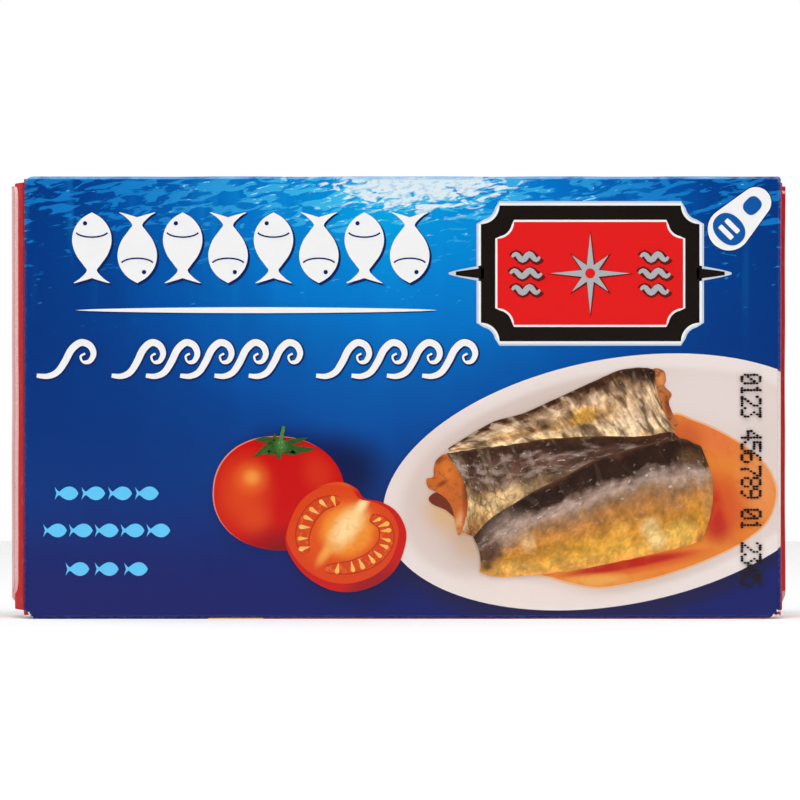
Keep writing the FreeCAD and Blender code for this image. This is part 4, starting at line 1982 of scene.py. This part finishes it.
    def build_middle_fish(self) -> None:
        """Print the middle fish and the cut end at its left."""
        hollow = curve_through(
            [
                (57.9, 17.8), (56.7, 17.0), (57.2, 16.1), (59.0, 15.3), (60.4, 14.3), (60.6, 15.8),
                (59.4, 17.3),
            ],
            closed=True,
        )
        dark = PlainInk("cut_hollow_ink", tone=ink(112, 46, 26), mottle=0.3)
        self.lay("middle_fish_hollow", hollow, 4, dark)
        flesh = curve_through(
            [
                (57.9, 22.4), (59.2, 23.1), (60.9, 22.0), (62.0, 19.4), (62.3, 16.6), (61.8, 13.6),
                (60.9, 11.7), (60.4, 13.6), (60.1, 15.0), (59.6, 16.2), (58.7, 17.2), (57.7, 17.8),
                (56.6, 18.4), (56.4, 19.6), (57.3, 19.9), (57.4, 21.2),
            ],
            closed=True,
        )
        spots = (
            Spot((59.3, 20.6), (1.5, 2.4), 10.0, 0.1, ink(214, 118, 46), 0.9),
            Spot((57.9, 17.7), (1.4, 1.1), 0.0, 0.1, ink(206, 108, 44), 0.9),
            Spot((58.6, 19.0), (1.6, 0.55), 30.0, 0.1, ink(120, 52, 20), 0.8),
            Spot((61.9, 17.6), (0.9, 4.6), 0.0, 0.1, ink(120, 54, 24), 0.85),
            Spot((60.9, 13.6), (0.8, 2.4), -10.0, 0.1, ink(224, 164, 110), 0.8),
            Spot((58.0, 22.3), (1.6, 0.8), 30.0, 0.1, ink(108, 52, 24), 0.8),
            Spot((57.3, 20.6), (0.5, 1.2), 0.0, 0.1, ink(140, 66, 30), 0.7),
        )
        meat = SpottedInk(
            "cut_flesh_ink", tone=ink(196, 100, 38), spots=spots,
            grain=0.45, grain_tone=ink(132, 58, 22), grain_scale=1.3,
        )
        self.lay("middle_fish_cut", flesh, 5, meat)
        skin = FishSkin(
            "middle_fish_ink",
            stops=(
                (0.0, ink(70, 42, 26)), (0.1, ink(62, 38, 26)), (0.2, ink(92, 62, 50)),
                (0.32, ink(104, 74, 58)), (0.42, ink(96, 68, 44)), (0.52, ink(146, 112, 72)),
                (0.64, ink(224, 184, 128)), (0.78, ink(230, 186, 122)), (0.9, ink(188, 132, 70)),
                (1.0, ink(166, 104, 50)),
            ),
            patches=(
                Spot((61.6, 14.6), (0.9, 3.8), 0.0, 0.2, ink(218, 190, 160), 0.8),
                Spot((60.6, 21.6), (0.9, 2.2), 25.0, 0.2, ink(150, 132, 112), 0.7),
                Spot((68.4, 17.2), (4.8, 2.5), 24.0, 0.3, ink(236, 196, 138), 0.8),
                Spot((63.8, 13.8), (2.0, 1.8), 20.0, 0.1, ink(170, 122, 72), 0.8),
                Spot((74.5, 22.0), (6.0, 1.6), 6.0, 0.1, ink(112, 80, 70), 0.6),
                Spot((75.0, 19.6), (4.0, 1.3), 20.0, 0.1, ink(70, 50, 34), 0.7),
                Spot((88.0, 25.6), (5.4, 1.3), 6.0, 0.2, ink(78, 42, 26), 0.8),
            ),
            warp=0.24, rough=0.5, fold=0.22, crack=0.6, shine_to=0.55, seed=9.0,
        )
        Trunk(
            "middle_fish",
            [
                (59.2, 23.2), (62.4, 23.7), (65.7, 24.1), (69.4, 24.6), (73.0, 25.2), (80.0, 25.6),
                (86.7, 25.6), (90.3, 26.2), (91.6, 25.5),
            ],
            [
                (61.3, 12.2), (63.4, 11.5), (66.2, 11.6), (70.0, 12.3), (75.0, 13.6), (80.2, 15.4),
                (85.0, 17.4), (89.0, 19.6), (92.0, 22.0),
            ],
            -1.7, 0.5, 6, skin,
        ).build(self.panel, self.effects)

    def build_front_fish(self) -> None:
        """Print the fish in front."""
        skin = FishSkin(
            "front_fish_ink",
            stops=(
                (0.0, ink(70, 40, 24)), (0.05, ink(40, 20, 12)), (0.2, ink(46, 26, 16)),
                (0.25, ink(118, 92, 80)), (0.33, ink(178, 150, 134)), (0.43, ink(160, 120, 84)),
                (0.54, ink(180, 120, 60)), (0.68, ink(200, 134, 46)), (0.8, ink(214, 148, 48)),
                (0.9, ink(232, 172, 70)), (1.0, ink(234, 160, 72)),
            ),
            patches=(
                Spot((67.4, 12.2), (5.0, 3.2), 40.0, 0.2, ink(168, 142, 126), 0.7),
                Spot((64.8, 9.4), (3.0, 3.6), -20.0, 0.3, ink(78, 48, 36), 0.9),
                Spot((64.9, 7.4), (1.2, 0.9), 30.0, 0.1, ink(52, 30, 20), 0.8),
                Spot((66.6, 9.0), (0.9, 0.7), 10.0, 0.1, ink(60, 36, 26), 0.7),
                Spot((69.0, 7.2), (4.2, 1.4), 0.0, 0.2, ink(218, 164, 82), 0.8),
                Spot((70.6, 10.8), (1.6, 2.2), 10.0, 0.2, ink(206, 168, 116), 0.7),
                Spot((87.7, 12.9), (2.1, 2.0), 20.0, 0.2, ink(238, 202, 134), 0.85),
                Spot((88.6, 11.1), (2.2, 1.9), -10.0, 0.2, ink(244, 208, 138), 0.9),
                Spot((83.4, 12.6), (2.6, 1.6), 30.0, 0.1, ink(214, 160, 70), 0.5),
                Spot((91.9, 12.2), (3.1, 2.5), 15.0, 0.3, ink(234, 184, 84), 0.85),
                Spot((79.5, 9.9), (8.4, 2.2), 9.0, 0.3, ink(222, 164, 52), 0.6),
                Spot((90.6, 16.6), (3.4, 2.4), 0.0, 0.1, ink(164, 112, 66), 0.7),
                Spot((93.6, 22.6), (3.4, 1.9), -10.0, 0.1, ink(112, 78, 46), 0.7),
                Spot((96.0, 17.4), (1.1, 6.2), 0.0, 0.2, ink(206, 146, 80), 0.6),
                Spot((94.6, 11.6), (0.8, 1.6), 0.0, 0.2, ink(196, 104, 40), 0.8),
            ),
            warp=0.2, rough=0.45, fold=0.05, crack=0.1, shine_from=0.2, shine_to=0.5, seed=21.0,
        )
        Trunk(
            "front_fish",
            [
                (62.9, 11.5), (65.4, 14.1), (68.5, 16.1), (71.8, 18.1), (75.8, 20.0), (80.0, 22.3),
                (84.2, 23.6), (88.4, 24.8), (92.0, 25.3), (94.8, 24.2),
            ],
            [
                (63.8, 6.5), (66.2, 5.9), (69.4, 6.0), (73.0, 6.3), (77.4, 6.9), (81.6, 7.7),
                (85.4, 8.5), (89.8, 9.5), (92.6, 10.2), (94.7, 10.8),
            ],
            -0.5, 1.75, 8, skin,
        ).build(self.panel, self.effects)


@dataclass
class Tomatoes:
    """The pictured tomatoes: a whole one with its green star, and a half in front of it."""

    panel: Panel
    effects: Effects
    whole: Point = (35.75, 17.55)
    whole_half: Point = (9.15, 7.95)
    star: Point = (35.9, 24.2)
    face: Point = (45.2, 11.4)

    def lay(self, name: str, outline: Outline, level: int, finish: Finish) -> None:
        """Print one closed shape of the picture."""
        film(name, self.panel, [outline], level, finish.build(self.effects))

    def build(self, copies: CopiesOnPoints) -> None:
        """Print the whole tomato and then the half."""
        self.build_whole()
        self.build_star()
        self.build_half()
        self.build_seeds(copies)

    def build_whole(self) -> None:
        """Print the whole tomato with its gloss."""
        u, v = self.whole
        spots = (
            Spot((u - 5.0, v + 0.2), (5.6, 7.4), 0.0, 0.1, ink(217, 68, 20), 0.9),
            Spot((u - 3.9, v + 2.2), (3.3, 3.1), 0.0, 0.05, ink(232, 112, 38), 0.85),
            Spot((u - 3.8, v + 2.3), (1.7, 1.6), 0.0, 0.0, ink(240, 156, 70), 0.8),
            Spot((u - 3.2, v - 3.6), (3.4, 3.4), 0.0, 0.05, ink(220, 74, 24), 0.6),
            Spot((u + 5.4, v + 2.8), (3.2, 4.4), 20.0, 0.1, ink(214, 52, 24), 0.6),
            Spot((u + 0.6, v + 7.4), (5.4, 1.6), 0.0, 0.1, ink(128, 34, 18), 0.75),
            Spot((u + 1.0, v - 8.0), (9.5, 4.6), 0.0, 0.1, ink(122, 8, 14), 0.85),
        )
        rind = SpottedInk("tomato_ink", tone=ink(196, 5, 4), spots=spots, mottle=0.06)
        body = ellipse(self.whole, self.whole_half, -4.0, 2.15, 96)
        pale = PlainInk("tomato_rim_ink", tone=ink(226, 138, 116), mottle=0.05)
        self.lay("tomato_rim", moved(grown(body, 0.02), -0.16, 0.08), 1, pale)
        self.lay("tomato", body, 2, rind)

    def build_star(self) -> None:
        """Print the green star of leaves and the stalk."""
        u, v = self.star
        leaves = [
            ((-1.8, 0.9), (-3.6, 0.9), 0.42), ((-1.6, -0.2), (-3.7, -1.5), 0.62),
            ((1.7, 0.6), (3.9, 1.2), 0.4), ((2.2, -0.5), (4.9, -0.4), 0.55),
            ((-0.4, -0.9), (0.0, -1.9), 0.5), ((-0.7, 1.0), (-0.8, 1.9), 0.3),
            ((1.0, -0.6), (2.3, -1.2), 0.55), ((-0.9, -0.4), (-1.9, -1.3), 0.55),
        ]
        outlines = []
        for bend, tip, half in leaves:
            start = (u + bend[0] * 0.3, v + bend[1] * 0.3)
            path = curve_through([start, (u + bend[0], v + bend[1]), (u + tip[0], v + tip[1])], False, 6)
            last = len(path) - 1
            shares = [0.18 + 0.82 * step / last for step in range(last + 1)]
            widths = [half * math.sin(math.pi * share) + 0.015 for share in shares]
            outlines.append(ribbon(path, widths))
        spots = (
            Spot((u + 0.1, v + 0.3), (1.2, 2.2), 0.0, 0.1, ink(92, 142, 66), 0.6),
            Spot((u - 2.6, v - 0.6), (2.0, 1.2), 20.0, 0.1, ink(60, 104, 40), 0.6),
        )
        green = SpottedInk(
            "leaf_ink", tone=ink(46, 84, 32), spots=spots,
            grain=0.5, grain_tone=ink(28, 58, 26), grain_scale=2.0,
        )
        leaf = green.build(self.effects)
        film("tomato_star", self.panel, outlines, 3, leaf)
        film("tomato_star_hub", self.panel, [ellipse((u + 0.1, v - 0.15), (1.75, 1.0))], 4, leaf)
        stalk = curve_through([(u, v - 0.3), (u + 0.1, v + 1.0), (u + 0.5, v + 2.8)], False, 6)
        light = SpottedInk(
            "stalk_ink", tone=ink(70, 122, 58),
            grain=0.6, grain_tone=ink(120, 170, 96), grain_scale=2.4,
        )
        band = ribbon(stalk, [0.36 - 0.012 * step for step in range(len(stalk))])
        self.lay("tomato_stalk", band, 5, light)

    def half_outline(self) -> Outline:
        """Draw the half tomato, with the dip where its stalk was."""
        return curve_through(
            [
                (36.6, 11.6), (38.3, 16.0), (41.0, 18.4), (44.2, 19.2), (46.5, 18.3), (47.7, 16.9),
                (50.0, 16.4), (52.2, 15.0), (53.5, 12.4), (53.2, 9.6), (51.9, 6.8), (49.4, 4.8),
                (46.0, 3.8), (42.6, 4.2), (39.4, 6.1), (37.3, 8.8),
            ],
            closed=True,
        )

    def build_half(self) -> None:
        """Print the half tomato: its skin, its cut face and the two chambers."""
        u, v = self.face
        outline = self.half_outline()
        skin_spots = (
            Spot((48.5, 4.6), (7.0, 3.2), 34.0, 0.2, ink(140, 22, 30), 0.8),
            Spot((44.0, 18.6), (4.0, 1.6), 0.0, 0.1, ink(226, 92, 30), 0.8),
        )
        skin = SpottedInk("half_skin_ink", tone=ink(196, 22, 16), spots=skin_spots, mottle=0.06)
        self.lay("half_tomato", outline, 5, skin)
        cut = [(u - 0.45 + (a - u) * 0.925, v + 0.42 + (b - v) * 0.9) for a, b in outline]
        face_spots = (
            Spot((44.6, 12.2), (7.4, 6.4), 10.0, 0.55, ink(222, 82, 20), 0.9),
            Spot((45.3, 12.4), (4.9, 4.6), 30.0, 0.5, ink(238, 146, 46), 1.0),
            Spot((45.2, 12.8), (5.0, 2.5), 52.0, 0.2, ink(250, 212, 146), 1.0),
            Spot((47.3, 15.9), (2.3, 1.0), 55.0, 0.2, ink(246, 214, 150), 1.0),
            Spot((42.2, 9.2), (3.0, 1.1), 55.0, 0.1, ink(240, 168, 76), 0.8),
        )
        flesh = SpottedInk(
            "half_flesh_ink", tone=ink(214, 64, 16), spots=face_spots, mottle=0.05,
            grain=0.16, grain_tone=ink(206, 66, 20), grain_scale=0.8,
        )
        self.lay("half_face", cut, 6, flesh)
        edges, chambers = [], []
        for path in self.chamber_paths():
            last = len(path) - 1
            widths = [0.22 + 0.78 * math.sin(math.pi * step / last) ** 0.45 for step in range(last + 1)]
            chambers.append(ribbon(path, widths))
            edges.append(ribbon(path, [width + 0.14 for width in widths]))
        rim = PlainInk("chamber_edge_ink", tone=ink(176, 44, 16), mottle=0.1)
        film("half_chamber_edges", self.panel, edges, 7, rim.build(self.effects))
        gel = SpottedInk(
            "chamber_ink", tone=ink(206, 66, 20), grain=0.7, grain_tone=ink(230, 104, 40), grain_scale=1.1
        )
        film("half_chambers", self.panel, chambers, 8, gel.build(self.effects))

    def chamber_paths(self) -> list[Outline]:
        """Give the middle lines of the two seed chambers."""
        left = [(44.2, 16.7), (41.6, 16.0), (39.8, 14.1), (39.0, 11.6), (39.4, 9.2)]
        right = [(48.5, 14.2), (50.4, 13.2), (50.7, 10.8), (49.0, 8.6), (46.0, 7.3), (42.2, 7.0)]
        return [curve_through(left, False, 8), curve_through(right, False, 8)]

    def build_seeds(self, copies: CopiesOnPoints) -> None:
        """Print the seeds, which point at the middle of the cut face."""
        chance = random.Random(11)
        places = []
        for path, count in zip(self.chamber_paths(), (7, 10)):
            for number in range(count):
                u, v = path[round((len(path) - 1) * (0.1 + 0.8 * number / (count - 1)))]
                toward = math.degrees(math.atan2(self.face[1] + 0.8 - v, self.face[0] - 0.2 - u))
                places.append((u, v, toward - 90 + chance.uniform(-9, 9), chance.uniform(0.95, 1.25)))
        drop = [(0.0, 0.72), (0.17, 0.1), (0.27, -0.42), (0.0, -0.66), (-0.27, -0.42), (-0.17, 0.1)]
        seed = curve_through(drop, closed=True, steps=4)
        pale = SpottedInk(
            "seed_ink", tone=ink(246, 176, 76), grain=0.7, grain_tone=ink(250, 214, 140), grain_scale=1.6
        )
        copies.lay("half_seeds", self.panel, seed, places, 9, pale.build(self.effects))


@dataclass
class InfoBoxes:
    """Two pale boxes with plain ruled lines, as on the backs of such cartons."""

    panel: Panel
    boxes: tuple = (((61.0, 5.0), (81.0, 36.0)), ((84.0, 5.0), (102.0, 36.0)))
    pitch: float = 2.4
    margin: float = 1.2

    def build(self, inks: "Inks") -> None:
        """Print the boxes and their lines."""
        film("info_boxes", self.panel, [box_outline(low, high) for low, high in self.boxes], 1, inks.white)
        lines = []
        for low, high in self.boxes:
            count = int((high[1] - low[1] - 2 * self.margin) / self.pitch)
            for number in range(count + 1):
                height = low[1] + self.margin + number * self.pitch
                half = 0.28 if number in (0, count) else 0.09
                end = high[0] - self.margin
                lines.append(box_outline((low[0] + self.margin, height - half), (end, height + half)))
        film("info_lines", self.panel, lines, 2, inks.shade)


class Inks:
    """The plain inks that several motifs share."""

    def __init__(self, effects: Effects) -> None:
        """Make every ink."""

        def plain(name: str, red: int, green: int, blue: int) -> Material:
            """Make one plain ink."""
            return PlainInk(name, tone=ink(red, green, blue), mottle=0.05).build(effects)

        self.white = plain("white_ink", 236, 236, 236)
        self.shade = plain("shade_ink", 12, 34, 92)
        self.light_blue = plain("light_blue_ink", 96, 196, 242)
        self.mid_blue = plain("mid_blue_ink", 16, 84, 158)
        self.black = plain("black_ink", 24, 18, 14)
        self.red = plain("red_ink", 221, 28, 28)
        self.dark_red = plain("dark_red_ink", 104, 22, 20)
        self.silver = plain("silver_ink", 196, 206, 216)
        self.silver_dark = plain("dark_silver_ink", 172, 172, 174)
        self.jet = plain("jet_ink", 32, 14, 14)


# --- Stage ---


@dataclass
class Stage:
    """A pale floor, soft studio lights and the camera."""

    sizes: CartonSizes
    distance: float = 1.2
    view_width: float = 0.11204
    aim: Point = (52.66, 30.67)
    sensor: float = 36.0
    floor_size: float = 1.3

    def build(self) -> None:
        """Set up the floor, the lights, the surroundings and the camera."""
        self.build_floor()
        self.build_lights()
        self.build_world()
        self.build_camera()
        bpy.context.scene.view_settings.view_transform = "Standard"

    def build_floor(self) -> None:
        """Lay the floor."""
        mesh = bmesh.new()
        bmesh.ops.create_grid(mesh, x_segments=1, y_segments=1, size=self.floor_size / 2)
        data = bpy.data.meshes.new("floor")
        mesh.to_mesh(data)
        mesh.free()
        floor = bpy.data.objects.new("floor", data)
        material = bpy.data.materials.new("floor_pale")
        material.use_nodes = True
        shader = material.node_tree.nodes["Principled BSDF"]
        shader.inputs["Base Color"].default_value = (0.94, 0.94, 0.94, 1.0)
        shader.inputs["Roughness"].default_value = 0.9
        shader.inputs["Emission Color"].default_value = (1.0, 1.0, 1.0, 1.0)
        shader.inputs["Emission Strength"].default_value = 0.17
        data.materials.append(material)
        bpy.context.scene.collection.objects.link(floor)

    def build_lights(self) -> None:
        """Hang a soft box at each corner and one overhead, all turned to the carton."""
        boxes = [
            ("front_left", (-0.85, -0.8, 0.5), 1.2, 6.5),
            ("front_right", (0.85, -0.8, 0.5), 1.2, 6.5),
            ("back_left", (-0.85, 0.8, 0.5), 1.2, 6.0),
            ("back_right", (0.85, 0.8, 0.5), 1.2, 6.0),
            ("overhead", (0.0, -0.4, 1.15), 0.35, 6.6),
        ]
        target = Vector((0, 0, self.sizes.height / 2 * MM))
        for name, place, size, power in boxes:
            data = bpy.data.lights.new(name, "AREA")
            data.size = size
            data.energy = power
            light = bpy.data.objects.new(name, data)
            light.location = place
            light.rotation_euler = (target - Vector(place)).to_track_quat("-Z", "Y").to_euler()
            bpy.context.scene.collection.objects.link(light)

    def build_world(self) -> None:
        """Surround the stage with white that lights it only a little."""
        world = bpy.data.worlds.new("studio")
        world.use_nodes = True
        nodes = Nodes(world.node_tree)
        background = world.node_tree.nodes["Background"]
        background.inputs["Color"].default_value = (1.0, 1.0, 1.0, 1.0)
        _, back, rise = nodes.apart(nodes.add("ShaderNodeTexCoord").outputs["Generated"])
        behind = nodes.smooth(back, 0.9, 0.99)
        level = nodes.smooth(nodes.math("ABSOLUTE", rise), 0.24, 0.1)
        unseen = nodes.line(nodes.times(behind, level), 0.9, 0.06)
        sight = nodes.add("ShaderNodeLightPath").outputs["Is Camera Ray"]
        nodes.put(background.inputs["Strength"], nodes.math("MAXIMUM", sight, unseen))
        bpy.context.scene.world = world

    def build_camera(self) -> None:
        """Set the camera straight in front of the carton, far off, with a long lens."""
        data = bpy.data.cameras.new("camera")
        data.sensor_width = self.sensor
        data.lens = self.sensor * self.distance / self.view_width
        camera = bpy.data.objects.new("camera", data)
        front = -self.sizes.depth / 2 * MM
        camera.location = ((self.sizes.left + self.aim[0]) * MM, front - self.distance, self.aim[1] * MM)
        camera.rotation_euler = (math.pi / 2, 0, 0)
        bpy.context.scene.collection.objects.link(camera)
        bpy.context.scene.camera = camera


# --- The whole carton ---


def build_sea_film(panel: Panel, board: FoldedBoard, finish: SeaPrint, effects: Effects) -> None:
    """Lay the printed sea into the bed of a big panel.

    Args:
        panel: The front or the back panel.
        board: The block, which knows the panel's outline.
        finish: The sea's ink.
        effects: The shared node groups.
    """
    sizes = board.sizes
    gap = 0.01
    outline = []
    for x, z in board.outline(sizes.crease + gap):
        place = Vector((x, 0, z)) - Vector((panel.origin.x, 0, panel.origin.z))
        outline.append((place.dot(panel.across), place.dot(panel.up)))
    mesh = film_mesh(panel, [outline], 0.0, gap - sizes.film_bed)
    new_piece("%s_sea" % panel.name, mesh, [finish.build(effects)])


def build_front(panel: Panel, effects: Effects, copies: CopiesOnPoints, inks: Inks) -> None:
    """Print the front panel."""
    FishPlate(panel, effects).build()
    Tomatoes(panel, effects).build(copies)
    TitleBand(panel).build(copies, inks)
    WaveLine(panel).build(inks)
    Shoal(panel).build(copies, inks)
    Plaque(panel).build(copies, inks)
    PullTab(panel).build(inks)
    DateCode(panel).build(copies, inks)


def build_back(panel: Panel, copies: CopiesOnPoints, inks: Inks) -> None:
    """Print the back panel, which has ruled boxes in place of the picture."""
    TitleBand(panel).build(copies, inks)
    WaveLine(panel).build(inks)
    Shoal(panel).build(copies, inks)
    Plaque(panel, centre=(79.3, 49.0), half=(15.3, 8.6)).build(copies, inks)
    InfoBoxes(panel).build(inks)


@dataclass
class TopPrint:
    """The top side's row of fish between two rules."""

    panel: Panel
    middle: float
    first: float = 30.0
    pitch: float = 6.6
    count: int = 6
    fish: Point = (5.6, 2.7)
    rule: Point = (26.0, 67.0)
    rule_half: float = 0.28
    gap: float = 3.4
    steps: int = 20

    def build(self, copies: CopiesOnPoints, inks: Inks) -> None:
        """Print the fish and the rules."""
        across = [self.first + self.pitch * number for number in range(self.count)]
        places = [(u, self.middle, -90.0, 1.0) for u in across]
        copies.lay("fish", self.panel, fish_motif(*self.fish), places, 1, inks.white)
        rules = []
        for height in (self.middle - self.gap, self.middle + self.gap):
            path = level_line(*self.rule, height, self.steps)
            rules.append(ribbon(path, swelling(self.rule_half, self.steps)))
        film("rules", self.panel, rules, 1, inks.white)


def main() -> None:
    """Build the carton, print it and set the stage."""
    logging.basicConfig(level=logging.INFO, format="%(name)s: %(message)s")
    sizes = measure_carton()
    effects = Effects(sizes)
    copies = CopiesOnPoints()
    inks = Inks(effects)

    board = FoldedBoard(sizes)
    board_print = BoardPrint("board_print", mottle=0.06, specular=0.14)
    board.build(board_print, effects)
    red = EndPrint("end_print", gloss=0.2, relief=0.5)
    raw = RawEdgeAndGlare("raw_edge_and_glare", gloss=0.85)
    EndFlaps(sizes, "left", -1, sizes.left_bow).build(board_print, red, raw, effects)
    EndFlaps(sizes, "right", 1, sizes.right_bow).build(board_print, red, red, effects)

    front, back = panel_of(Side.FRONT, sizes), panel_of(Side.BACK, sizes)
    shaded = SeaPrint("shaded_sea_ink", mottle=0.04, shadows=PICTURE_SHADOWS)
    build_sea_film(front, board, shaded, effects)
    build_sea_film(back, board, SeaPrint("sea_ink", mottle=0.04), effects)
    build_front(front, effects, copies, inks)
    build_back(back, copies, inks)
    TopPrint(panel_of(Side.TOP, sizes), sizes.depth / 2).build(copies, inks)
    Stage(sizes).build()

    bpy.context.view_layer.update()


if __name__ == "__main__":
    main()
